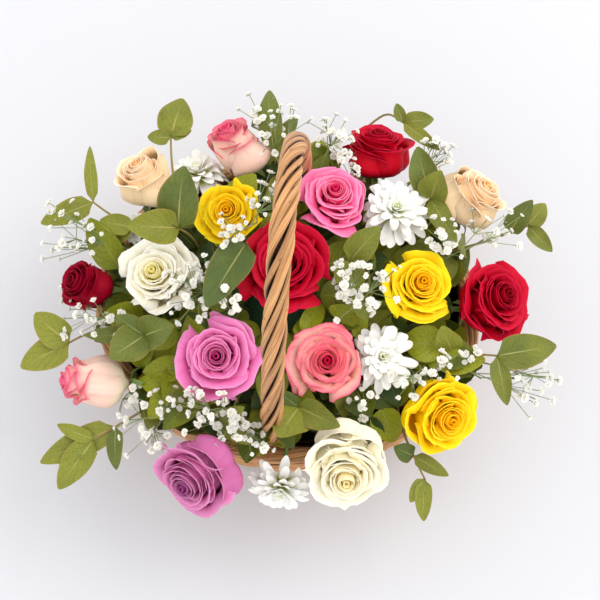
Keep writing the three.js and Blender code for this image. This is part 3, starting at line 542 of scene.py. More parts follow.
# ---- Meshes ----
def placed(name, data):
    """A new object at the origin, in the scene."""
    made = bpy.data.objects.new(name, data)
    bpy.context.scene.collection.objects.link(made)
    return made


class Surfaces:
    """Closed surfaces gathered into one mesh. Each point keeps its place on its own surface and a
    tint, which the materials read: place is (across, along) on a blade, and (cosine, sine, length)
    on a rod; tint is (tone, layer)."""

    def __init__(self):
        self.points, self.places, self.tints, self.outlines, self.faces = [], [], [], [], []
        self.count = 0

    def keep(self, points, places, tints, outline, faces):
        """Adds surfaces whose faces are numbered from nought on."""
        self.points.append(points)
        self.places.append(places)
        self.tints.append(tints)
        self.outlines.append(outline)
        self.faces += [face + self.count for face in faces]
        self.count += len(points)

    def blades(self, sheet, thickness, tone=0.5, layer=0.5):
        """Blades as thin as leaves. sheet[n, rows, columns] is the middle of each one; both faces
        stand half a thickness off it along its normal, and meet on the outline."""
        n, rows, columns, _ = sheet.shape
        normal = unit(np.cross(np.gradient(sheet, axis=2), np.gradient(sheet, axis=1)))
        inner = np.zeros((rows, columns), bool)
        inner[1:-1, 1:-1] = True
        half = normal * thickness / 2 * inner[..., None]
        front = np.arange(n * rows * columns).reshape(n, rows, columns)
        back = front.copy()
        back[:, inner] = front.size + np.arange(n * inner.sum()).reshape(n, -1)
        place = np.zeros(sheet.shape)
        place[..., 0] = np.linspace(-1, 1, columns)
        place[..., 1] = np.linspace(0, 1, rows)[:, None]
        tint = tinted(sheet.shape, tone, layer)
        edge = np.broadcast_to(~inner, (n, rows, columns))

        def both(values, under):
            return np.concatenate([values.reshape(-1, *values.shape[3:]),
                                   under[:, inner].reshape(-1, *values.shape[3:])])

        self.keep(both(sheet + half, sheet - half), both(place, place), both(tint, tint), both(edge, edge),
                  [quads(front), quads(back)[:, ::-1]])

    def rods(self, path, radius, sides=8, tone=0.5, layer=0.5, beside=(1, 0.13, 0.07), ring=False):
        """Round rods along path[n, steps]: at each step a circle of the rod's radius square to the
        path, started from the way that beside gives. A ring's last circle joins its first."""
        path = np.asarray(path, float)
        n, steps, _ = path.shape
        if ring:
            tangent = unit(np.roll(path, -1, 1) - np.roll(path, 1, 1))
        else:
            tangent = unit(np.gradient(path, axis=1))
        first = unit(np.cross(tangent, np.broadcast_to(beside, path.shape)))
        second = np.cross(tangent, first)
        turn = np.linspace(0, 2 * np.pi, sides, endpoint=False)
        wide = np.broadcast_to(radius, (n, steps))[:, :, None, None]
        points = path[:, :, None] + wide * (first[:, :, None] * np.cos(turn)[:, None]
                                            + second[:, :, None] * np.sin(turn)[:, None])
        stretch = np.linalg.norm(np.diff(path, axis=1, prepend=path[:, :1]), axis=2).cumsum(1)
        self.rings(points, stretch, tone, layer, ring)

    def rings(self, points, stretch, tone=0.5, layer=0.5, ring=False):
        """Closed tubes from points[n, steps, sides], each ring of sides joined to the next."""
        n, steps, sides, _ = points.shape
        number = np.arange(n * steps * sides).reshape(n, steps, sides)
        around = np.concatenate([number, number[:, :, :1]], 2)
        if ring:
            around = np.concatenate([around, around[:, :1]], 1)
        faces = [quads(around)]
        if not ring:
            faces += [number[:, 0], number[:, -1, ::-1]]
        turn = np.linspace(0, 2 * np.pi, sides, endpoint=False)
        place = np.stack(np.broadcast_arrays(np.cos(turn), np.sin(turn), stretch[:, :, None]), -1)
        tint = tinted(points.shape, tone, layer)
        self.keep(points.reshape(-1, 3), place.reshape(-1, 3), tint.reshape(-1, 3),
                  np.zeros(number.size, bool), faces)

    def twig(self, points, steps, radii, sides, tone):
        """One rod on a smooth line through the points; its radius, in millimetres, goes evenly from
        the first to the last of the radii."""
        path = spline(points, np.linspace(0, 1, steps))
        self.rods(path[None], np.linspace(radii[0], radii[-1], steps) * MM, sides, tone)
        return path

    def piece(self, name, material, slot, *nodes):
        """The finished piece: its object is at the origin, rides on the one body, and stands for
        the nodes. Only the outlines of blades are creased."""
        mesh = bpy.data.meshes.new(name)
        points = np.concatenate(self.points)
        corners = np.concatenate([face.ravel() for face in self.faces])
        sizes = np.concatenate([np.full(len(face), face.shape[1]) for face in self.faces])
        mesh.vertices.add(len(points))
        mesh.vertices.foreach_set("co", points.astype(np.float32).ravel())
        mesh.loops.add(len(corners))
        mesh.loops.foreach_set("vertex_index", corners.astype(np.int32))
        mesh.polygons.add(len(sizes))
        starts = np.concatenate([[0], np.cumsum(sizes)[:-1]])
        mesh.polygons.foreach_set("loop_start", starts.astype(np.int32))
        mesh.update(calc_edges=True)
        for label, values in (("place", self.places), ("tint", self.tints)):
            layer = mesh.attributes.new(label, "FLOAT_VECTOR", "POINT")
            layer.data.foreach_set("vector", np.concatenate(values).astype(np.float32).ravel())
        ends = np.zeros(2 * len(mesh.edges), np.int32)
        mesh.edges.foreach_get("vertices", ends)
        creased = np.concatenate(self.outlines)[ends.reshape(-1, 2)].all(1)
        mesh.attributes.new("sharp_edge", "BOOLEAN", "EDGE").data.foreach_set("value", creased)
        if mesh.validate():
            raise RuntimeError(f"the mesh of {name} has faults")
        mesh.materials.append(material)
        made = placed(name, mesh)
        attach(made, "root")
        if nodes:
            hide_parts(*nodes)
        return made


def tinted(shape, tone, layer):
    """The tone and the layer of each surface, at all its points."""
    tint = np.zeros(shape)
    for i, value in enumerate((tone, layer)):
        tint[..., i] = np.broadcast_to(value, shape[0])[:, None, None]
    return tint


def quads(number):
    """Four-cornered faces between neighbours on grids of point numbers [n, rows, columns]."""
    corners = [number[:, :-1, :-1], number[:, :-1, 1:], number[:, 1:, 1:], number[:, 1:, :-1]]
    return np.stack(corners, -1).reshape(-1, 4)


# ---- Materials ----
class Finish:
    """A node material under construction, with short calls for its nodes."""

    def __init__(self, name, roughness, **sockets):
        self.material = bpy.data.materials.new(name)
        self.material.use_nodes = True
        self.nodes = self.material.node_tree.nodes
        self.links = self.material.node_tree.links
        self.shader = self.nodes["Principled BSDF"]
        self.shader.inputs["Roughness"].default_value = roughness
        for label, value in sockets.items():
            self.shader.inputs[label.replace("_", " ")].default_value = value

    def node(self, kind, inputs, output=0, **settings):
        """Adds a node, fills its inputs with links or numbers, and gives one of its outputs."""
        made = self.nodes.new(kind)
        for label, value in settings.items():
            setattr(made, label, value)
        for key, value in inputs.items():
            if isinstance(value, bpy.types.NodeSocket):
                self.links.new(value, made.inputs[key])
            else:
                made.inputs[key].default_value = value
        return made.outputs[output]

    def parts(self, attribute):
        """The three numbers of an attribute."""
        vector = self.node("ShaderNodeAttribute", {}, "Vector", attribute_name=attribute)
        split = self.nodes.new("ShaderNodeSeparateXYZ")
        self.links.new(vector, split.inputs[0])
        return split.outputs

    def math(self, operation, *values):
        """The operation on one, two or three numbers or links."""
        return self.node("ShaderNodeMath", dict(enumerate(values)), operation=operation)

    def times(self, first, second):
        return self.math("MULTIPLY", first, second)

    def share(self, value, low, high):
        """0 at low and 1 at high, smoothly."""
        limits = {"Value": value, "From Min": low, "From Max": high}
        return self.node("ShaderNodeMapRange", limits, interpolation_type="SMOOTHSTEP")

    def blend(self, factor, first, second):
        """Colour between two colours, each a link or a linear red, green and blue."""
        linked = bpy.types.NodeSocket
        first, second = (c if isinstance(c, linked) else (*c, 1) for c in (first, second))
        return self.node("ShaderNodeMix", {0: factor, 6: first, 7: second}, 2, data_type="RGBA")

    def vector(self, x, y, z):
        """Three numbers as one place."""
        return self.node("ShaderNodeCombineXYZ", {0: x, 1: y, 2: z})

    def noise(self, vector, scale, detail=3.0):
        """Cloudy noise from 0 to 1 at a place."""
        return self.node("ShaderNodeTexNoise", {"Vector": vector, "Scale": scale, "Detail": detail}, "Fac")

    def lit(self, value, colour):
        """The colour, with its brightness times the value."""
        return self.node("ShaderNodeHueSaturation", {"Value": value, "Color": colour})

    def object_place(self):
        """The place in the basket's frame, which is every piece's own."""
        return self.node("ShaderNodeTexCoord", {}, "Object")

    def colour(self, value):
        """Gives the surface its colour."""
        self.links.new(value, self.shader.inputs["Base Color"])

    def bump(self, height, strength, distance):
        """Shades the surface as if it rose by the height times the distance, in metres."""
        settings = {"Height": height, "Strength": strength, "Distance": distance}
        self.links.new(self.node("ShaderNodeBump", settings), self.shader.inputs["Normal"])


def toned(finish, tone, colour, spread):
    """The colour, lighter or darker by the tone of each petal, leaf or rod."""
    return finish.lit(finish.math("MULTIPLY_ADD", tone, spread, 1 - spread / 2), colour)


def deeper(colour, share):
    """A colour with that share of its light."""
    return [share * part for part in colour]


def petal_finish(name, heart, middle, rim, foot):
    """A petal: foot, middle and rim along it, deeper towards the bloom's heart, with fine veins
    that run lengthwise. The heart and foot colours are the flower's own, and the roses' darker
    hearts and feet also paint shade deep in the bloom and in the creases at the petals' feet."""
    finish = Finish(name, 0.55, Specular_IOR_Level=0.1, Subsurface_Weight=0.18, Subsurface_Scale=0.003,
                    Subsurface_Radius=(1.0, 0.75, 0.6))
    across, along, _ = finish.parts("place")
    tone, layer, _ = finish.parts("tint")
    # Painted shade as well as own colour: the roses' darker heart colours darken the inner petals deep in
    # the bloom.
    body = finish.blend(finish.share(layer, 0.12, 0.72), heart, middle)
    side = finish.math("POWER", finish.math("ABSOLUTE", across), 4.0)
    lip = finish.math("MAXIMUM", finish.share(along, 0.6, 1.0), finish.share(side, 0.25, 1.1))
    outer = finish.share(layer, 0.05, 0.5)
    edged = finish.blend(finish.times(lip, outer), body, rim)
    # Painted shade as well as the petals' own base colour: the roses' darker foot colours darken the creases
    # at the petals' feet.
    foot_colour_and_crease_shade = finish.blend(finish.share(along, 0.38, 0.06), edged, foot)
    lines = finish.vector(finish.times(across, 9.0), finish.times(along, 1.4), finish.times(tone, 40.0))
    veins = finish.noise(lines, 1.6, 4.0)
    veined = finish.lit(finish.math("MULTIPLY_ADD", veins, 0.24, 0.88), foot_colour_and_crease_shade)
    finish.colour(toned(finish, tone, veined, 0.12))
    finish.bump(veins, 0.2, 0.0005)
    return finish.material


def leaf_finish(name, young, old, vein, gloss):
    """A leaf: between two greens by its tone, blotched, with a pale rib that fades towards the
    tip, darker side veins that run up from it, a net of fine veins between them, and a dry rim."""
    finish = Finish(name, gloss, Specular_IOR_Level=0.25, Subsurface_Weight=0.08, Subsurface_Scale=0.003)
    across, along, _ = finish.parts("place")
    tone, _, _ = finish.parts("tint")
    place = finish.object_place()
    blotches = finish.noise(place, 55.0)
    mixed = finish.share(finish.math("ADD", tone, finish.times(blotches, 0.7)), 0.15, 1.45)
    body = finish.blend(mixed, old, young)
    wide = finish.math("ABSOLUTE", across)
    slant = finish.math("SUBTRACT", finish.times(along, 5.5), finish.times(wide, 2.4))
    bent = finish.math("ADD", slant, finish.times(blotches, 1.8))
    wave = finish.math("SINE", finish.times(bent, 2 * np.pi))
    side = finish.times(finish.share(wave, 0.9, 1.0), 0.35)
    net = finish.node("ShaderNodeTexVoronoi", {"Vector": place, "Scale": 420.0}, "Distance",
                      feature="DISTANCE_TO_EDGE")
    fine = finish.times(finish.share(net, 0.10, 0.02), 0.28)
    veined = finish.blend(finish.math("MAXIMUM", side, fine), body, deeper(old, 0.45))
    rib = finish.times(finish.share(wide, 0.055, 0.015), finish.share(along, 1.0, 0.1))
    ribbed = finish.blend(finish.times(rib, 0.65), veined, vein)
    dry = finish.times(finish.share(wide, 0.92, 1.0), 0.4)
    brown = np.array(vein) * (0.8, 0.5, 0.4)
    finish.colour(finish.blend(dry, ribbed, brown))
    height = finish.math("SUBTRACT", finish.noise(place, 220.0), finish.math("ADD", rib, side))
    finish.bump(height, 0.3, 0.0005)
    return finish.material


def stem_finish(name, first, second):
    """A green stem or a woody twig: two colours in patches along it, lightly ridged."""
    finish = Finish(name, 0.55, Specular_IOR_Level=0.35)
    cosine, sine, length = finish.parts("place")
    tone, _, _ = finish.parts("tint")
    patch = finish.noise(finish.vector(cosine, sine, finish.times(length, 60.0)), 1.2)
    ridges = finish.vector(finish.times(cosine, 6.0), finish.times(sine, 6.0), finish.times(length, 80.0))
    patched = finish.blend(finish.share(patch, 0.35, 0.65), first, second)
    finish.colour(toned(finish, tone, patched, 0.3))
    finish.bump(finish.noise(ridges, 1.5), 0.35, 0.0004)
    return finish.material


def willow_finish(name, light, dark, gloss):
    """A peeled willow rod: streaks along the grain, stains in patches, short dark bruises, and
    shade on the side that is turned in to the other rods."""
    finish = Finish(name, gloss, Specular_IOR_Level=0.4)
    cosine, sine, length = finish.parts("place")
    tone, _, _ = finish.parts("tint")
    shift = finish.math("MULTIPLY_ADD", tone, 37.0, finish.times(length, 22.0))
    streaks = finish.vector(finish.times(cosine, 5.0), finish.times(sine, 5.0), shift)
    grain = finish.noise(streaks, 1.5, 6.0)
    stain = finish.noise(finish.vector(cosine, sine, shift), 1.1, 2.0)
    bruise = finish.noise(finish.vector(cosine, sine, finish.times(shift, 5.0)), 1.3, 1.0)
    streaked = finish.blend(finish.share(grain, 0.3, 0.72), dark, light)
    stained = finish.blend(finish.times(finish.share(stain, 0.60, 0.80), 0.5), streaked, deeper(dark, 0.45))
    bruised = finish.blend(finish.share(bruise, 0.70, 0.76), stained, deeper(dark, 0.2))
    shaded = finish.blend(finish.share(cosine, 0.7, -0.15), bruised, deeper(dark, 0.12))
    finish.colour(toned(finish, tone, shaded, 0.35))
    finish.bump(grain, 0.5, 0.0006)
    return finish.material


def plain_finish(name, colour, other, roughness, scale, bump):
    """A plain surface that is mottled between two close colours, with a fine grain."""
    finish = Finish(name, roughness)
    grain = finish.noise(finish.object_place(), scale, 5.0)
    finish.colour(finish.blend(finish.share(grain, 0.3, 0.7), colour, other))
    finish.bump(grain, bump, 0.0008)
    return finish.material


# ---- Basket ----
def wall_half(height):
    """Half width of the wall's outside at a height: a straight lean and a half sine of belly."""
    rise = height / WALL_HEIGHT
    return lerp(BASE_HALF, WALL_HALF, rise) + WALL_BELLY * np.sin(np.pi * rise)


def round_turn(steps):
    """Angles once round the basket, one row of them."""
    return np.linspace(0, 2 * np.pi, steps, endpoint=False)[None, :]


def wall_rods(rod, draws):
    """Weavers in bands, packed close: band by band they pass before and behind the stakes,
    as a cosine of the angle that turns over from one band to the next."""
    count = ROWS_IN_BAND * WEAVER_BANDS
    row = np.arange(count)[:, None]
    turn = round_turn(480)
    uneven = 0.25 * MM * np.sin(3 * turn + row * 2.1)
    height = lerp(3.1 * MM, WALL_HEIGHT - 2.7 * MM, row / (count - 1)) + uneven
    weave = np.cos(STAKES / 2 * turn + np.pi * (row // ROWS_IN_BAND))
    deep = wall_half(height) - rod + WEAVE_DEPTH * weave
    return oval(turn + 0 * row, deep, height), rod * (1 + 0.08 * (draws.random((count, 1)) - 0.5))


def stake_rods():
    """Upright stakes inside the weave, from the base to under the rim."""
    turn = (np.arange(STAKES) + 0.5)[:, None] * 2 * np.pi / STAKES
    height = np.linspace(2 * MM, WALL_HEIGHT + 3 * MM, 9)[None, :]
    return oval(turn, wall_half(np.minimum(height, WALL_HEIGHT)) - WALL / 2, height)


def base_rods(draws):
    """The woven base: close rings of weavers that pass over and under crossing base sticks, as a
    cosine of the angle that turns over from one ring to the next."""
    count = 30
    ring = np.arange(count)[:, None]
    turn = round_turn(192)
    half = lerp(3 * MM, BASE_HALF - 3 * MM, ring / (count - 1))
    height = 3.1 * MM + 0.6 * MM * np.cos(BASE_STICKS / 2 * turn + np.pi * ring)
    return oval(turn + 0 * ring, half, height), 2.4 * MM * (1 + 0.06 * (draws.random((count, 1)) - 0.5))


def rim_rods(draws):
    """The border: eight thin rods laid round the rim together, each on a slow helix round the
    middle of the border."""
    strands, windings = 8, 5
    strand = np.arange(strands)[:, None]
    turn = round_turn(360)
    around = strand * 2 * np.pi / strands + windings * turn
    wander = 1 + 0.10 * np.sin(3 * turn + 2.2 * strand) + 0.06 * np.sin(11 * turn + strand)
    middle = WALL_HEIGHT + GAP + RIM_WIDTH * 0.9
    out = RIM_HALF + 4.9 * MM * wander * np.cos(around)
    height = middle + 4.6 * MM * wander * np.sin(around)
    path = oval(turn + 0 * strand, out, height)
    outward = path - oval(turn + 0 * strand, RIM_HALF, middle)
    beside = np.cross(outward, np.roll(path, -1, 1) - path)
    return path, 2.7 * MM * (1 + 0.18 * (draws.random((strands, 1)) - 0.5)), beside


def handle_frame(length):
    """Middle of the handle and its outward normal, length along the rods from the near foot: up
    one leg, over half an ellipse and down the other leg, whose ends lean in."""
    leg = HANDLE_SPRING - HANDLE_FOOT
    turn = np.clip((length - leg) / HANDLE_ARCH, 0, 1) * np.pi
    middle = handle_line(turn)
    sunk = np.maximum(leg - length, 0) + np.maximum(length - leg - HANDLE_ARCH, 0)
    middle -= np.stack([0 * turn, np.sign(middle[..., 1]) * HANDLE_LEAN * sunk / leg, sunk], -1)
    normal = unit(np.stack([0 * turn, -np.cos(turn) * HANDLE_RISE, np.sin(turn) * HANDLE_HALF_SPAN], -1))
    return middle, normal


def handle_rods(draws):
    """Eight rods twisted together round one in the middle: each runs on a helix about the
    handle's line, and here and there strays to the side or outwards, which opens dark splits."""
    strands = 9
    total = 2 * (HANDLE_SPRING - HANDLE_FOOT) + HANDLE_ARCH
    length = np.linspace(0, total, 260)[None, :]
    strand = np.arange(strands)[:, None]
    core = strand == strands - 1
    middle, normal = handle_frame(length + 0 * strand)
    sway = 0.16 * np.sin(length * 17 + strand * 2.4) + 0.10 * np.sin(length * 41 + strand * 1.9)
    around = strand * 2 * np.pi / (strands - 1) + length * HANDLE_TWIST + sway
    stray = 1 + 0.06 * np.sin(length * 23 + strand * 2.6) + 0.05 * np.sin(length * 57 + strand)
    outward = np.sin(around)[..., None] * normal
    outward[..., 0] -= np.cos(around)
    offset = np.where(core, 0.3 * MM, 6.3 * MM) * stray
    path = middle + offset[..., None] * outward
    radius = np.where(core, 3.4 * MM, 2.5 * MM * (1 + 0.22 * (draws.random((strands, 1)) - 0.5)))
    knots = 1 + 0.06 * np.sin(length * 83 + strand * 4.1)
    tone = draws.random(strands)
    tone[-1] = 0
    return path, radius * knots, np.cross(outward, np.gradient(path, axis=1)), tone


# ---- Blooms ----
ROSE_ROWS = 17
ROSE_COLUMNS = 15
WHORL = 5  # petals in a whorl of a rose
LEAF_ANGLE = 2.4  # turn from one petal or twig to the next

# Loose guard petals: the bearings, in degrees round the bloom, of the widest petals.
GUARDS = {
    "bicolour_back": (330,), "yellow_left": (240, 205), "white_left": (16, 72), "mauve_centre": (57, 250),
    "mauve_front": (345, 45), "red_centre": (265, 95), "pink": (290, 20), "coral": (190, 75),
    "yellow_right": (190, 285), "red_right": (215, 275), "yellow_front": (200, 120),
    "white_front": (105, 55), "peach_right": (180, 120), "red_back": (240, 305),
}


def rose_petals(head, petals, draws):
    """Petals of one rose about +Z, heart first, each one leaf-angle round from the last, in whorls
    of five with a step outwards between two whorls.

    Along a petal its slope is an angle that starts flat, steepens into a bowl and then rolls back,
    most at the sides, and the petal is the running sum of that slope's cosine (outwards) and sine
    (upwards), sized so that its crest is at the whorl's height and reach. Across it the petal
    wraps the bloom's axis a little flatter than a circle, and its height falls towards the sides
    as a rounded square, with a small point in the middle. After the whorls come the guard petals,
    each with a smaller one inside it."""
    full = head.open
    guards = np.tile(np.radians(GUARDS.get(head.name, ())), 2)
    count = petals + len(guards)
    order = np.arange(petals)
    ring = order // WHORL + 0.5 * (order % WHORL) / WHORL
    ring = np.concatenate([ring / ring[-1], np.repeat([0.82, 1.0], len(guards) // 2)])
    outer = (np.arange(count) >= count - len(guards) // 2)[:, None, None]
    s = ring[:, None, None]
    v = np.sin(np.pi / 2 * np.linspace(0, 1, ROSE_ROWS))[None, :, None]
    u = np.sin(np.pi / 2 * np.linspace(-1, 1, ROSE_COLUMNS))[None, None, :]
    jitter = draws.uniform(-1, 1, (9, count, 1, 1))
    shut = smooth((1 - head.aim[2]) / 0.3)
    reach = 0.024 + lerp(0.40, 0.48, min(1, 2 * full)) * s**1.5 * (1 + 0.05 * jitter[0])
    cup = lerp(1.75, lerp(1.86, 1.30, full), s) + lerp(-0.15, 0.1, shut) * outer * full
    cup = cup + 0.07 * jitter[7] * s
    foot = lerp(1.2, lerp(0.5, 0.2, full), s)
    side = np.abs(u) ** 1.5
    roll = lerp(0.35, lerp(1.5, 2.1, full), s) * lerp(0.6, 1.0, side) * (1 + 0.25 * jitter[1])
    roll = roll * (1 - lerp(0.35, 0.45, shut) * outer)
    rolled = roll * smooth((v - 0.80 + 0.08 * side) / 0.26)
    slope = lerp(foot, cup, smooth(v / lerp(0.8, 0.5, full))) - rolled
    step = np.diff(v, axis=1, prepend=0)
    across = np.cumsum(np.cos(slope) * step, axis=1)
    upward = np.cumsum(np.sin(slope) * step, axis=1)
    root = -0.42 * head.length
    crest = lerp(0.38, lerp(0.33, 0.10, full), s**1.4) * (1 + 0.06 * jitter[2])
    crest = crest + lerp(-0.04, 0.02, shut) * outer
    crest = crest - lerp(0.16, 0.05, full) * s**3 * (1 + jitter[8])
    rounded = (1 - 0.998 * np.abs(u) ** lerp(2.2, 2.8, s)) ** 0.45
    corner = 1 - lerp(0.12, lerp(0.26, 0.36, full), s) * (1 - rounded) + 0.05 * s * (1 - np.abs(u)) ** 3
    tall = (crest * head.length - root) / upward.max(1, keepdims=True) * corner
    at_crest = np.take_along_axis(across, upward.argmax(1)[:, None], 1)
    wide = np.minimum(np.maximum(reach - 0.05, 0) / np.maximum(at_crest, 0.05), 1.6)
    wrap = np.minimum(2.4, 0.45 / np.maximum(reach, 0.05)) * lerp(0.5, 1, smooth(v / 0.4))
    flat = 0.30 * s * (np.sqrt((u * np.minimum(wrap, 1.2)) ** 2 + 0.04) - 0.2)
    out = reach * (1 + lerp(0.26, 0.05, s**0.5) * u - flat * v**2) + (across - at_crest) * wide
    ruffle = 0.012 * np.sin(4.2 * u + 3 * jitter[3]) + 0.008 * np.sin(7.1 * u + 5 * jitter[4])
    out = np.maximum(out + ruffle * s * v**2, 0.012)
    out = lerp(0.05, out, smooth(v / 0.2))
    height = root + upward * tall + 0.010 * np.sin(3.4 * u + 3 * jitter[5]) * v**3 * (0.3 + s)
    around = np.concatenate([head.number * 1.7 + order * LEAF_ANGLE, guards])[:, None, None]
    angle = around + 0.2 * jitter[6] * (1 - outer) + u * wrap
    return swung(head.size * out, 0, head.size * height, angle)


def calyx(surfaces, head, draws):
    """The green cup under a rose, a turned profile, and five narrow sepals that fall back."""
    top = head.base(CALYX_DROP * head.tall)
    step = np.linspace(0, 1, 9)
    radius = np.interp(step, [0, 0.25, 0.6, 1], [2.2, 4.6, 5.6, 4.2]) * MM
    path = top + head.aim * ((step - 1) * 8 * MM)[:, None]
    surfaces.rods(path[None], radius, 12, tone=0.45)
    sepals = 5
    v = np.linspace(0, 1, 9)[None, :, None]
    u = np.linspace(-1, 1, 5)[None, None, :]
    around = np.arange(sepals)[:, None, None] * 2 * np.pi / sepals + head.number
    droop = draws.uniform(0.7, 1.5, (sepals, 1, 1))
    out = (4 + 15 * v * (1 - 0.25 * v * droop)) * MM
    fall = (1.5 * np.sin(np.pi * v) - 9 * droop * v**2 + 1.2 * u**2) * MM
    width = 2.9 * MM * np.sin(np.pi * (0.2 + 0.8 * v)) ** 0.8 + 0.1 * MM
    local = swung(out, u * width, fall - 1.5 * MM, around)
    surfaces.blades(local @ turn_to(head.aim).T + top, 0.7 * MM, tone=draws.random(sepals))


# Whorls of a chrysanthemum from the outside in: straps, length over the head's width, and slope.
STRAP_WHORLS = np.array([(13, 0.50, 0), (13, 0.475, 13), (12, 0.43, 27), (11, 0.37, 41), (9, 0.30, 54),
                         (8, 0.23, 66), (6, 0.17, 76), (4, 0.12, 84)])


def strap_florets(head, draws):
    """Straps of a chrysanthemum about +Z in whorls: each one leaves the heart at its whorl's
    slope, arches on a half sine and lifts its tip, as a shallow trough. Its width grows from a
    narrow foot and closes at the tip as half an ellipse. Inner whorls start nearer to the axis."""
    counts = STRAP_WHORLS[:, 0].astype(int)
    count, reach, slope = np.repeat(STRAP_WHORLS, counts, axis=0).T[..., None, None]
    n = len(count)
    order = np.concatenate([np.arange(number) for number in counts])[:, None, None]
    depth = np.repeat(np.linspace(1, 0, len(counts)), counts)[:, None, None]
    v = np.sin(np.pi / 2 * np.linspace(0, 1, 11))[None, :, None]
    u = np.linspace(-1, 1, 5)[None, None, :]
    jitter = draws.uniform(-1, 1, (5, n, 1, 1))
    angle = 2 * np.pi * order / count + 13 * depth + 0.16 * jitter[0]
    long = head.size * reach * (1 + 0.12 * jitter[1])
    tilt = np.radians(slope) + 0.14 * jitter[2]
    away = lerp(0.008, 0.035, depth) * head.size + long * v * np.cos(tilt)
    rise = long * (v * np.sin(tilt) + (0.10 + 0.05 * jitter[4]) * np.sin(np.pi * v) - 0.05 * v**3 * depth)
    shut = np.sqrt(1 - 0.99 * np.clip((v - 0.74) / 0.26, 0, 1) ** 2)
    wide = lerp(0.044, 0.068, depth) * (26 * MM + 0.6 * head.size) * lerp(0.4, 1, smooth(v / 0.6)) * shut
    height = rise + 0.30 * wide * (u**2 - 0.3) + lerp(0.03, -0.11, depth) * head.size
    side = u * wide + 0.06 * long * jitter[3] * v**2
    return swung(away, side, height, angle), draws.random(n), np.minimum(1, 2.6 * depth[:, 0, 0])


# ---- Leaves and twigs ----
RIM_SEEN = (4.72, 5.40)  # bearings of the two places where no leaf covers the rim
RIM_SEEN_HALF = 0.14  # half the angle that each of them spans

# Leaves low between the blooms, in millimetres: foot, tip and width. The dark ones lie at the rim.
LOW_LEAVES = [
    ((84, -78, 140), (102, -102, 132), 26), ((68, -86, 138), (84, -112, 131), 24),
    ((118, -6, 140), (150, -13, 130), 24), ((112, 8, 140), (138, 14, 134), 22),
    ((-108, -56, 138), (-132, -60, 134), 24), ((-118, -30, 134), (-146, -24, 128), 22),
    ((-104, 62, 132), (-130, 74, 123), 22), ((20, -76, 142), (30, -100, 135), 26),
]
YOUNG_LEAVES = [
    ((128, -26, 152), (90, -30, 154), 30), ((17, -34, 172), (22, -6, 176), 17),
    ((20, -36, 170), (8, -8, 174), 15), ((-80, -84, 142), (-98, -108, 144), 22),
    ((-76, -82, 144), (-110, -78, 146), 20), ((60, -30, 160), (62, -6, 166), 13),
    ((-100, -64, 137), (-130, -46, 141), 24), ((-62, -86, 146), (-90, -72, 150), 20),
]

YOUNG_TONE = 1.2  # the dark leaves' tones go from 0 to 1

# Radii of twigs from foot to tip, in millimetres.
ROSE_RADII = (2.1, 2.1)
DAISY_RADII = (1.5, 1.5)
SPRIG_RADII = (1.5, 0.8)
FILL_RADII = (1.4, 0.7)
LEAF_STALK_RADII = (1.0, 1.0)
SPRAY_RADII = (1.1, 0.6)
TUFT_RADII = (1.0, 0.6)


def round_leaves(bases, tips, widths, draws, rows=15, columns=9):
    """Round leaves from base to tip: the outline is a power of a half sine that is fullest before
    the middle and ends in a point, arched along, folded up about the rib, waved at the rim."""
    bases, tips = np.asarray(bases), np.asarray(tips)
    widths = np.asarray(widths)[:, None, None, None]
    reach = tips - bases
    length = np.linalg.norm(reach, axis=1)[:, None, None, None]
    along = unit(reach)[:, None, None]
    side = unit(np.cross(along, [-0.15, -0.25, 1]))
    normal = np.cross(side, along)
    v = np.linspace(0, 1, rows)[None, :, None, None]
    u = np.linspace(-1, 1, columns)[None, None, :, None]
    jitter = draws.uniform(-1, 1, (4, len(bases), 1, 1, 1))
    outline = np.sin(np.pi * (0.02 + 0.97 * v**0.76)) ** lerp(0.5, 0.7, v)
    stalk = smooth((v - 0.02) / 0.10)
    across = u * outline * stalk * widths / 2
    arch = (0.07 + 0.05 * jitter[0]) * np.sin(np.pi * v) - 0.05 * jitter[1] * v**2
    cup = (0.14 + 0.10 * jitter[2]) * u**2 * outline
    wave = 0.06 * np.sin(9 * v + 5 * jitter[3] + 2 * np.sign(u)) * u**2 * outline
    sheet = bases[:, None, None] + along * length * v + side * across
    return sheet + normal * (length * arch + widths * (cup + wave))


def one_foot(stalks):
    """Stalks of one spray, of which only the first keeps the cut end that they share."""
    return [stalk[min(i, 1):] for i, stalk in enumerate(stalks)]


def spread_out(draws, count):
    """Offsets that gather about the middle, none of them far out."""
    return np.clip(draws.normal(0, 1, (count, 3)), -1.5, 1.5)


def clear_of_heads(points):
    """Points, moved straight out of the ball of any head that they lie in."""
    for _ in range(6):
        for at, radius in zip(HEAD_AT, HEAD_RADIUS):
            away = points - at
            far = np.linalg.norm(away, axis=1, keepdims=True)
            points = points + away * np.maximum(radius * 1.02 + 2 * MM - far, 0) / far
    return points


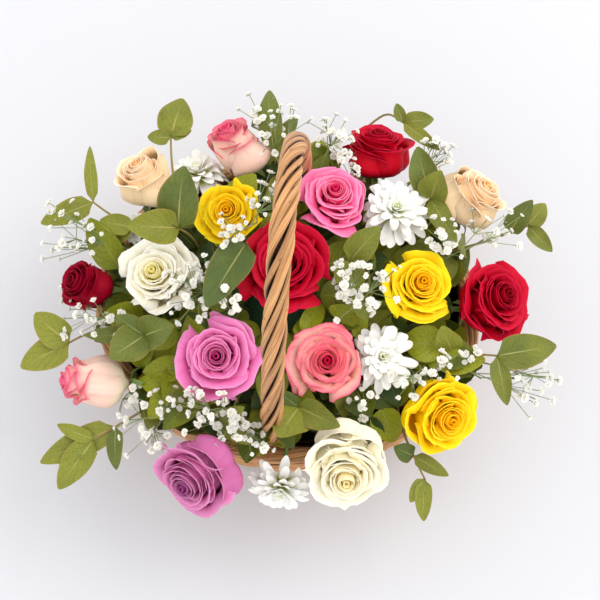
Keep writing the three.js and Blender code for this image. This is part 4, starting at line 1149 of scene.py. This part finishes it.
def floret_petals(middles, aims, size, draws):
    """Blossoms of gypsophila: each is eleven small cupped petals in two whorls about its aim, the
    outer spread wide and the inner nearly upright."""
    n = len(middles)
    petals, spread = 11, 6
    outer = np.arange(petals) < spread
    slope = np.where(outer, 0.35, 1.05)[None, :, None, None]
    reach = np.where(outer, 0.5, 0.36)[None, :, None, None]
    jitter = draws.uniform(-1, 1, (3, n, petals, 1, 1))
    around = np.arange(petals) * 2 * np.pi / np.where(outer, spread, petals - spread)
    around = around[None, :, None, None] + 0.35 * jitter[0] + draws.uniform(0, 6, (n, 1, 1, 1))
    tilt = slope + 0.3 * jitter[1]
    v = np.linspace(0, 1, 3)[None, None, :, None]
    u = np.linspace(-1, 1, 3)[None, None, None, :]
    size = np.broadcast_to(size, n)[:, None, None, None]
    long = size * reach * (1 + 0.15 * jitter[2])
    away = long * v * np.cos(tilt)
    height = long * v * np.sin(tilt) + 0.06 * size * u**2
    side = u * 0.27 * size * np.array([0.25, 1.0, 0.75])[None, None, :, None]
    local = swung(away, side, height, around)
    turns = np.array([turn_to(aim) for aim in aims])
    turned = np.einsum("npvuc,ndc->npvud", local, turns) + middles[:, None, None, None]
    return turned.reshape(-1, 3, 3, 3), np.repeat(draws.random(n), petals)


# ---- The settings that a user would change ----
def length_setting(name, description, default):
    """A setting that is a length."""
    return FloatProperty(name=name, description=description, unit="LENGTH", default=default)


def colour_setting(name, description, *shown):
    """A setting that is a colour; its default is given as it is seen on a screen."""
    return FloatVectorProperty(name=name, description=description, subtype="COLOR",
                               default=linear(*shown))


class WillowSettings(bpy.types.PropertyGroup):
    """Rods of the basket and its handle."""

    weaver: length_setting("Weaver", "Radius of a weaver in the wall", 2.75 * MM)
    stake: length_setting("Stake", "Radius of an upright stake", 1.9 * MM)
    light: colour_setting("Light willow", "Fresh peeled willow", 232, 178, 116)
    dark: colour_setting("Dark willow", "Grain and bruises of the willow", 158, 100, 60)


class BloomSettings(bpy.types.PropertyGroup):
    """Petals of the roses and of the chrysanthemums."""

    petals: IntProperty(name="Petals", description="Petals in an open rose", default=28, min=12)
    thickness: length_setting("Petal thickness", "Thickness of a rose petal", 0.5 * MM)
    strap: length_setting("Strap thickness", "Thickness of a chrysanthemum strap", 0.45 * MM)
    white: colour_setting("Strap white", "White of the chrysanthemums", 253, 252, 246)
    green: colour_setting("Heart green", "Green at the chrysanthemums' hearts", 206, 214, 96)


class FoliageSettings(bpy.types.PropertyGroup):
    """Eucalyptus, dark leaves under the blooms, stems and gypsophila."""

    leaf: length_setting("Leaf thickness", "Thickness of a leaf", 0.6 * MM)
    young: colour_setting("Young leaf", "Yellow-green of young eucalyptus", 138, 142, 50)
    old: colour_setting("Old leaf", "Deep green of old eucalyptus", 78, 97, 46)
    fill_twigs: IntProperty(name="Fill twigs", description="Leafy twigs under the blooms", default=52)
    collar_leaves: IntProperty(name="Collar leaves", description="Places for a leaf over the rim",
                               default=58)
    floret: length_setting("Floret", "Width of a gypsophila floret", 7.2 * MM)


class StageSettings(bpy.types.PropertyGroup):
    """Floor and lights."""

    floor: colour_setting("Floor", "Colour of the pale floor", 211, 212, 216)
    sky: FloatProperty(name="Sky", description="Strength of the even light from all round", default=1.30)
    key: FloatProperty(name="Key light", description="Power of the large soft lamp", unit="POWER",
                       default=41.0)


class FlowerBasketSettings(bpy.types.PropertyGroup):
    """All the settings of the arrangement."""

    willow: PointerProperty(type=WillowSettings, name="Willow", description="Rods")
    bloom: PointerProperty(type=BloomSettings, name="Blooms", description="Petals")
    foliage: PointerProperty(type=FoliageSettings, name="Foliage", description="Leaves and twigs")
    stage: PointerProperty(type=StageSettings, name="Stage", description="Floor and lights")


for shade, shown in PETALS.items():
    rose = shade.replace("_", " ")
    for spot, value in zip(SPOTS, shown):
        BloomSettings.__annotations__[f"{shade}_{spot}"] = colour_setting(
            f"{rose} {spot}".capitalize(), f"Colour at the {spot} of a {rose} rose", *value)


# ---- Operators, one for each group of pieces ----
class WeaveWall(bpy.types.Operator):
    """Weaves the wall and the base round their stakes"""

    bl_idname = "flower_basket.weave_wall"
    bl_label = "Weave the wall"

    def execute(self, context):
        willow = context.scene.flower_basket.willow
        draws = draws_for("wall")
        finish = willow_finish("Woven willow", willow.light, willow.dark, 0.5)
        woven = Surfaces()
        path, radius = wall_rods(willow.weaver, draws)
        woven.rods(path, radius, 7, draws.random(len(path)), beside=(0, 0, 1), ring=True)
        woven.piece("basket_weavers", finish, "woven_willow", "basket_body")
        frame_rods = Surfaces()
        stakes = stake_rods()
        frame_rods.rods(stakes, willow.stake, 8, draws.random(len(stakes)))
        rings, radius = base_rods(draws)
        frame_rods.rods(rings, radius, 6, draws.random(len(rings)), beside=(0, 0, 1), ring=True)
        frame_rods.piece("basket_stakes_and_base", finish, "woven_willow")
        return {"FINISHED"}


class LayRim(bpy.types.Operator):
    """Lays the border rods round the rim"""

    bl_idname = "flower_basket.lay_rim"
    bl_label = "Lay the rim"

    def execute(self, context):
        willow = context.scene.flower_basket.willow
        draws = draws_for("rim")
        border = Surfaces()
        path, radius, beside = rim_rods(draws)
        border.rods(path, radius, 8, draws.random(len(path)), beside=beside, ring=True)
        finish = willow_finish("Rim willow", willow.light, willow.dark, 0.45)
        border.piece("basket_border", finish, "rim_willow", "basket_rim")
        return {"FINISHED"}


class TwistHandle(bpy.types.Operator):
    """Twists the handle's thick rods together over the arch"""

    bl_idname = "flower_basket.twist_handle"
    bl_label = "Twist the handle"

    def execute(self, context):
        willow = context.scene.flower_basket.willow
        draws = draws_for("handle")
        handle = Surfaces()
        path, radius, beside, tone = handle_rods(draws)
        handle.rods(path, radius, 10, tone, beside=beside)
        finish = willow_finish("Peeled willow", willow.light, willow.dark, 0.42)
        handle.piece("handle_rods", finish, "peeled_willow", "handle")
        return {"FINISHED"}


class FinishInside(bpy.types.Operator):
    """Gives the liner and the foam their finishes"""

    bl_idname = "flower_basket.finish_inside"
    bl_label = "Finish liner and foam"

    def execute(self, context):
        finishes = {
            "liner_tray": plain_finish("Liner", linear(46, 52, 52), linear(58, 64, 62), 0.45, 40.0, 0.1),
            "foam": plain_finish("Wet foam", linear(46, 84, 50), linear(30, 62, 38), 0.95, 900.0, 0.8),
        }
        for name, finish in finishes.items():
            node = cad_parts[name]
            node.data.materials.clear()
            node.data.materials.append(finish)
        return {"FINISHED"}


class OpenRoses(bpy.types.Operator):
    """Opens the roses, each with its layers of petals"""

    bl_idname = "flower_basket.open_roses"
    bl_label = "Open the roses"

    def execute(self, context):
        bloom = context.scene.flower_basket.bloom
        finishes = {}
        for shade in PETALS:
            colours = [getattr(bloom, f"{shade}_{spot}") for spot in SPOTS]
            finishes[shade] = petal_finish(f"Petal {shade}", *colours)
        for head in ROSE_HEADS:
            draws = draws_for("roses", head.number)
            petals = Surfaces()
            sheet = press(head.place(rose_petals(head, bloom.petals, draws)), head)
            count = len(sheet)
            petals.blades(sheet, bloom.thickness, draws.random(count), np.linspace(0, 1, count))
            # Dusky is a deeper mauve.
            slot = "petal_mauve" if head.kind == "dusky" else f"petal_{head.kind}"
            petals.piece(f"bloom_{head.name}", finishes[head.kind], slot, f"rose_{head.name}")
        return {"FINISHED"}


class OpenChrysanthemums(bpy.types.Operator):
    """Opens the white spray chrysanthemums"""

    bl_idname = "flower_basket.open_chrysanthemums"
    bl_label = "Open the chrysanthemums"

    def execute(self, context):
        bloom = context.scene.flower_basket.bloom
        white, green = np.array(bloom.white), np.array(bloom.green)
        finish = petal_finish("Chrysanthemum", lerp(white, green, 0.45), white, white, green)
        for head in MUM_HEADS:
            draws = draws_for("chrysanthemums", head.number)
            straps = Surfaces()
            sheet, tone, layer = strap_florets(head, draws)
            straps.blades(press(head.place(sheet), head), bloom.strap, tone, layer)
            rise = np.linspace(0, 1, 7)
            radius = np.interp(rise, [0, 0.3, 0.75, 1], [0.05, 0.11, 0.06, 0.02]) * head.size
            knob = head.at + head.aim * ((rise * 0.30 - 0.28) * head.size)[:, None]
            straps.rods(knob[None], radius, 14, layer=0.0)
            straps.piece(f"daisy_{head.name}", finish, "chrysanthemum_white", f"chrysanthemum_{head.name}")
        return {"FINISHED"}


class RaiseStems(bpy.types.Operator):
    """Raises the green stems of the roses and the chrysanthemums"""

    bl_idname = "flower_basket.raise_stems"
    bl_label = "Raise the stems"

    def execute(self, context):
        finish = stem_finish("Green stem", linear(96, 128, 58), linear(124, 140, 70))
        for head in ROSE_HEADS:
            draws = draws_for("stems", head.number)
            stem = Surfaces()
            stem.twig(growth.rose_stems[head.name], 25, ROSE_RADII, 10, draws.random())
            calyx(stem, head, draws)
            stem.piece(f"stalk_{head.name}", finish, "stem_green", f"stem_{head.name}")
        for name, stalks in growth.mum_stems.items():
            spray = Surfaces()
            for i, stalk in enumerate(one_foot(stalks)):
                spray.twig(stalk, 25, DAISY_RADII, 8, 0.3 + 0.2 * i)
            spray.piece(f"daisy_stalks_{name}", finish, "stem_green", f"chrysanthemum_spray_{name}")
        return {"FINISHED"}


class GrowEucalyptus(bpy.types.Operator):
    """Grows the eucalyptus sprigs with their round leaves"""

    bl_idname = "flower_basket.grow_eucalyptus"
    bl_label = "Grow the eucalyptus"

    def execute(self, context):
        foliage = context.scene.flower_basket.foliage
        leaf = leaf_finish("Eucalyptus leaf", foliage.young, foliage.old, linear(190, 184, 118), 0.5)
        twig = stem_finish("Eucalyptus twig", linear(150, 120, 66), linear(128, 130, 66))
        for i, (name, (twigs, leaves)) in enumerate(growth.sprigs.items()):
            draws = draws_for("eucalyptus", i)
            blades = Surfaces()
            bases, tips, widths = zip(*leaves)
            sheet = round_leaves(bases, tips, widths, draws)
            blades.blades(sheet, foliage.leaf, draws.random(len(sheet)))
            blades.piece(f"leaves_{name}", leaf, "eucalyptus_leaf", f"eucalyptus_{name}")
            rods = Surfaces()
            for path in one_foot(twigs):
                rods.twig(path, 30, SPRIG_RADII, 7, draws.random())
            rods.piece(f"twigs_{name}", twig, "stem_green")
        return {"FINISHED"}


class FillWithLeaves(bpy.types.Operator):
    """Fills the space under the blooms with dark leafy twigs"""

    bl_idname = "flower_basket.fill_with_leaves"
    bl_label = "Fill with leaves"

    def execute(self, context):
        foliage = context.scene.flower_basket.foliage
        self.draws = draws_for("fill")
        self.bases, self.tips, self.widths, self.rods = [], [], [], Surfaces()
        count = foliage.fill_twigs
        for i in range(count):
            out = 0.06 + 0.74 * np.sqrt((i + 0.5) / count)
            self.upright_twig(out, LEAF_ANGLE * i + self.draws.uniform(-0.2, 0.2), 8 * (i % 2) * MM)
        for i in range(foliage.collar_leaves):
            turn = 2 * np.pi * (i + self.draws.uniform(-0.3, 0.3)) / foliage.collar_leaves
            if min(abs(turn - bearing) for bearing in RIM_SEEN) >= RIM_SEEN_HALF:
                self.collar_leaf(turn)
        for row in LOW_LEAVES:
            self.low_leaf(*row)
        dark = len(self.bases)
        for row in YOUNG_LEAVES:
            self.low_leaf(*row)
        sheet = round_leaves(self.bases, self.tips, self.widths, self.draws, 11, 7)
        young, old, vein = linear(152, 158, 30), linear(38, 68, 26), linear(158, 164, 84)
        finish = leaf_finish("Fill leaf", young, old, vein, 0.45)
        leaves = Surfaces()
        tones = self.draws.random(len(sheet)) ** 1.6
        tones[dark:] = YOUNG_TONE
        leaves.blades(sheet, foliage.leaf, tones)
        leaves.piece("fill_leaves", finish, "eucalyptus_leaf")
        twig = stem_finish("Fill twig", linear(70, 92, 40), linear(96, 100, 50))
        self.rods.piece("fill_twigs", twig, "stem_green")
        return {"FINISHED"}

    def upright_twig(self, out, turn, lift):
        """A twig that stands in the foam, leans outwards and carries five leaves."""
        draws = self.draws
        outward = oval(turn, 1, 0)
        cut, rise = standing(FOAM_HALF * out * outward[:2], SPRIG_STEM)
        tip = rise + outward * lerp(10, 66, out**2) * MM + [0, 0, lerp(30, 12, out) * MM + lift]
        path = route(growth.laid, [rise, lerp(rise, tip, 0.5) + [0, 0, 5 * MM], tip], SPRIG_STEM, None, 4)
        fine = self.rods.twig(np.vstack([cut, path]), 18, FILL_RADII, 6, draws.random())
        for k, share in enumerate((0.42, 0.58, 0.72, 0.86, 1.0)):
            base = fine[int(share * (len(fine) - 1))]
            way = turn + (1 if k % 2 else -1) * lerp(1.5, 0.35, share) + draws.uniform(-0.3, 0.3)
            long, climb, width = draws.uniform([28, -2, 20], [40, 12, 27]) * MM
            self.leaf(base, base + swung(long, 0, climb, way), width)

    def collar_leaf(self, turn):
        """A leaf on a short twig at the foam's edge, which lies out over the rim, swung further and
        further to its two sides until it finds room between the heads."""
        draws = self.draws
        outward = oval(turn, 1, 0)
        cut, rise = standing(FOAM_HALF * 0.84 * outward[:2], SPRAY_STEM)
        base = RIM_HALF * draws.uniform(0.80, 0.88) * outward + [0, 0, draws.uniform(128, 133) * MM]
        path = route(growth.laid, [rise, lerp(rise, base, 0.5) + [0, 0, 3 * MM], base], SPRAY_STEM, None, 3)
        self.rods.twig(np.vstack([cut, path]), 10, LEAF_STALK_RADII, 6, draws.random())
        long, width, lift = draws.uniform([34, 26, -1], [44, 32, 9]) * MM
        for swing in (0, 0.5, -0.5, 0.9, -0.9, 1.3, -1.3):
            way = turn + swing + 0.2 * draws.uniform(-1, 1)
            tip = path[-1] + swung(long, 0, lift, way)
            spots = lerp(path[-1], tip, np.array([[0.35], [0.7], [1.0]]))
            room = np.linalg.norm(spots[:, None] - HEAD_AT, axis=-1) - HEAD_RADIUS
            if room.min() > 0.3 * width:
                self.leaf(path[-1], tip, width)
                return

    def low_leaf(self, base, tip, width):
        """A leaf from one of the tables, on its own stalk."""
        base = np.array(base) * MM
        cut, rise = standing(drawn_in(base, *LOW_FEET), SPRAY_STEM)
        path = route(growth.laid, [rise, base], SPRAY_STEM, None, 4)
        self.rods.twig(np.vstack([cut, path]), 14, LEAF_STALK_RADII, 6, self.draws.random())
        self.leaf(path[-1], np.array(tip) * MM, width * MM)

    def leaf(self, base, tip, width):
        """A leaf, if it finds room between the blooms without growing by more than a quarter and
        stays near the rim."""
        free = tip_clear(base, tip, width)
        near = oval_share(free, RIM_HALF) < 1.22
        if near and np.linalg.norm(free - base) < 1.25 * np.linalg.norm(tip - base):
            self.bases.append(base)
            self.tips.append(free)
            self.widths.append(width)


class ScatterGypsophila(bpy.types.Operator):
    """Scatters the gypsophila's branched twigs and small white florets"""

    bl_idname = "flower_basket.scatter_gypsophila"
    bl_label = "Scatter the gypsophila"

    def execute(self, context):
        foliage = context.scene.flower_basket.foliage
        white, green = linear(247, 245, 236), linear(200, 208, 146)
        petal = petal_finish("Gypsophila floret", green, white, white, green)
        twig = stem_finish("Gypsophila twig", linear(122, 144, 84), linear(150, 160, 110))
        for i, (name, (stalks, twigs)) in enumerate(growth.sprays.items()):
            draws = draws_for("gypsophila", i)
            rods, middles, aims = Surfaces(), [], []
            for path in one_foot(stalks):
                rods.twig(path, 16, SPRAY_RADII, 6, 0.5)
            for start, end in twigs:
                count = 6 if oval_share(end, RIM_HALF) > 1.15 else 12
                heads = end + 9 * MM * spread_out(draws, count) * [1, 1, 0.6]
                heads[0] = end
                rods.rods(np.stack([start, end])[None], 0.45 * MM, 5, 0.5)
                self.fork(rods, lerp(start, end, 0.55), heads, middles, aims)
            self.blossoms(f"florets_{name}", petal, middles, aims, foliage.floret, draws,
                          f"gypsophila_{name}")
            rods.piece(f"floret_twigs_{name}", twig, "stem_green")
        draws = draws_for("tufts")
        rods, middles, aims = Surfaces(), [], []
        for middle, spread, count in TUFTS:
            middle = np.array(middle) * MM
            cut, rise = standing(drawn_in(middle, *LOW_FEET), SPRAY_STEM)
            path = route(growth.laid, [rise, middle - [0, 0, 14 * MM]], SPRAY_STEM, None, 4)
            rods.twig(np.vstack([cut, path]), 16, TUFT_RADII, 6, 0.5)
            heads = middle + spread * MM * spread_out(draws, count) * [0.95, 0.95, 0.5]
            self.fork(rods, path[-1], clear_of_heads(heads), middles, aims)
        self.blossoms("florets_tufts", petal, middles, aims, foliage.floret, draws)
        rods.piece("floret_twigs_tufts", twig, "stem_green")
        return {"FINISHED"}

    def fork(self, rods, fork, heads, middles, aims):
        """Thin twigs from a fork to each blossom, which faces away from it and upwards."""
        rods.rods(np.stack([np.broadcast_to(fork, heads.shape), heads], 1), 0.3 * MM, 4, 0.6)
        middles += list(heads)
        aims += list(unit(unit(heads - fork) + [0, 0, 0.6]))

    def blossoms(self, name, finish, middles, aims, size, draws, *nodes):
        """One piece of all the blossoms at these middles, from buds to open ones."""
        middles, aims = np.array(middles), np.array(aims)
        sizes = size * draws.uniform(0.5, 1.12, len(middles))
        sheet, tone = floret_petals(middles, aims, sizes, draws)
        florets = Surfaces()
        florets.blades(sheet, 0.5 * MM, tone, 0.9)
        florets.piece(name, finish, "gypsophila_floret", *nodes)


# ---- Stage ----
FLOOR_HALF = 6.0
SKY_COLOUR = (0.985, 0.99, 1.0, 1)
LAMP_COLOUR = (1.0, 0.95, 0.88)
LAMP_SIZE = 2.2
LAMP_AT = Vector((1.8, 1.0, 3.1))
LAMP_AIM = Vector((0, 0, 0.1))
CAMERA_AZIMUTH = np.radians(6.2)
CAMERA_ELEVATION = np.radians(75.0)
CAMERA_DISTANCE = 1.5
CAMERA_AIM = Vector((0.0105, 0.0, 0.150))
CAMERA_LENS = 112.5  # gives the photograph's width
CAMERA_SENSOR = 36


class SetStage(bpy.types.Operator):
    """Sets the pale floor, the soft lights and the camera"""

    bl_idname = "flower_basket.set_stage"
    bl_label = "Set the stage"

    def execute(self, context):
        stage = context.scene.flower_basket.stage
        context.scene.view_settings.view_transform = "Standard"
        corners = [(x * FLOOR_HALF, y * FLOOR_HALF, 0) for x, y in ((-1, -1), (1, -1), (1, 1), (-1, 1))]
        mesh = bpy.data.meshes.new("floor")
        mesh.from_pydata(corners, [], [(0, 1, 2, 3)])
        finish = Finish("Pale floor", 0.8)
        finish.shader.inputs["Base Color"].default_value = (*stage.floor, 1)
        mesh.materials.append(finish.material)
        floor = placed("floor", mesh)
        world = bpy.data.worlds.new("Studio")
        world.use_nodes = True
        sky = world.node_tree.nodes["Background"]
        sky.inputs["Color"].default_value = SKY_COLOUR
        sky.inputs["Strength"].default_value = stage.sky
        context.scene.world = world
        lamp = bpy.data.lights.new("key", "AREA")
        lamp.shape = "DISK"
        lamp.size = LAMP_SIZE
        lamp.energy = stage.key
        lamp.color = LAMP_COLOUR
        key = placed("key", lamp)
        key.location = LAMP_AT
        key.rotation_euler = (LAMP_AIM - LAMP_AT).to_track_quat("-Z", "Y").to_euler()
        self.set_camera()
        return {"FINISHED"}

    def set_camera(self):
        """A camera at the photograph's angle: it stands at an azimuth and an elevation, so far from
        the point that it looks at."""
        out, height = np.cos(CAMERA_ELEVATION), np.sin(CAMERA_ELEVATION)
        back = Vector((np.sin(CAMERA_AZIMUTH) * out, -np.cos(CAMERA_AZIMUTH) * out, height))
        right = Vector((np.cos(CAMERA_AZIMUTH), np.sin(CAMERA_AZIMUTH), 0))
        place = Matrix((right, back.cross(right), back)).transposed().to_4x4()
        place.translation = CAMERA_AIM + back * CAMERA_DISTANCE
        camera = placed("camera", bpy.data.cameras.new("camera"))
        camera.data.sensor_width = CAMERA_SENSOR
        camera.data.lens = CAMERA_LENS
        camera.matrix_world = place
        bpy.context.scene.camera = camera


OPERATORS = (WeaveWall, LayRim, TwistHandle, FinishInside, OpenRoses, OpenChrysanthemums, RaiseStems,
             GrowEucalyptus, FillWithLeaves, ScatterGypsophila, SetStage)


class FlowerBasketPanel(bpy.types.Panel):
    """The sidebar panel with every step of the arrangement and its settings"""

    bl_idname = "VIEW3D_PT_flower_basket"
    bl_label = "Flower Basket"
    bl_space_type = "VIEW_3D"
    bl_region_type = "UI"
    bl_category = "Flower Basket"

    def draw(self, context):
        settings = context.scene.flower_basket
        for operator in OPERATORS:
            self.layout.operator(operator.bl_idname)
        for group in (settings.willow, settings.bloom, settings.foliage, settings.stage):
            box = self.layout.box()
            for label in group.bl_rna.properties.keys():
                if label not in ("rna_type", "name"):
                    box.prop(group, label)


CLASSES = (WillowSettings, BloomSettings, FoliageSettings, StageSettings, FlowerBasketSettings,
           *OPERATORS, FlowerBasketPanel)


def register():
    """Adds the settings, the operators and the panel."""
    for made in CLASSES:
        bpy.utils.register_class(made)
    bpy.types.Scene.flower_basket = PointerProperty(type=FlowerBasketSettings)


def unregister():
    """Takes them away again."""
    del bpy.types.Scene.flower_basket
    for made in reversed(CLASSES):
        bpy.utils.unregister_class(made)


growth = Growth()


def main():
    """Makes every piece in order."""
    register()
    for operator in OPERATORS:
        group, name = operator.bl_idname.split(".")
        getattr(getattr(bpy.ops, group), name)()


if __name__ == "__main__":
    main()
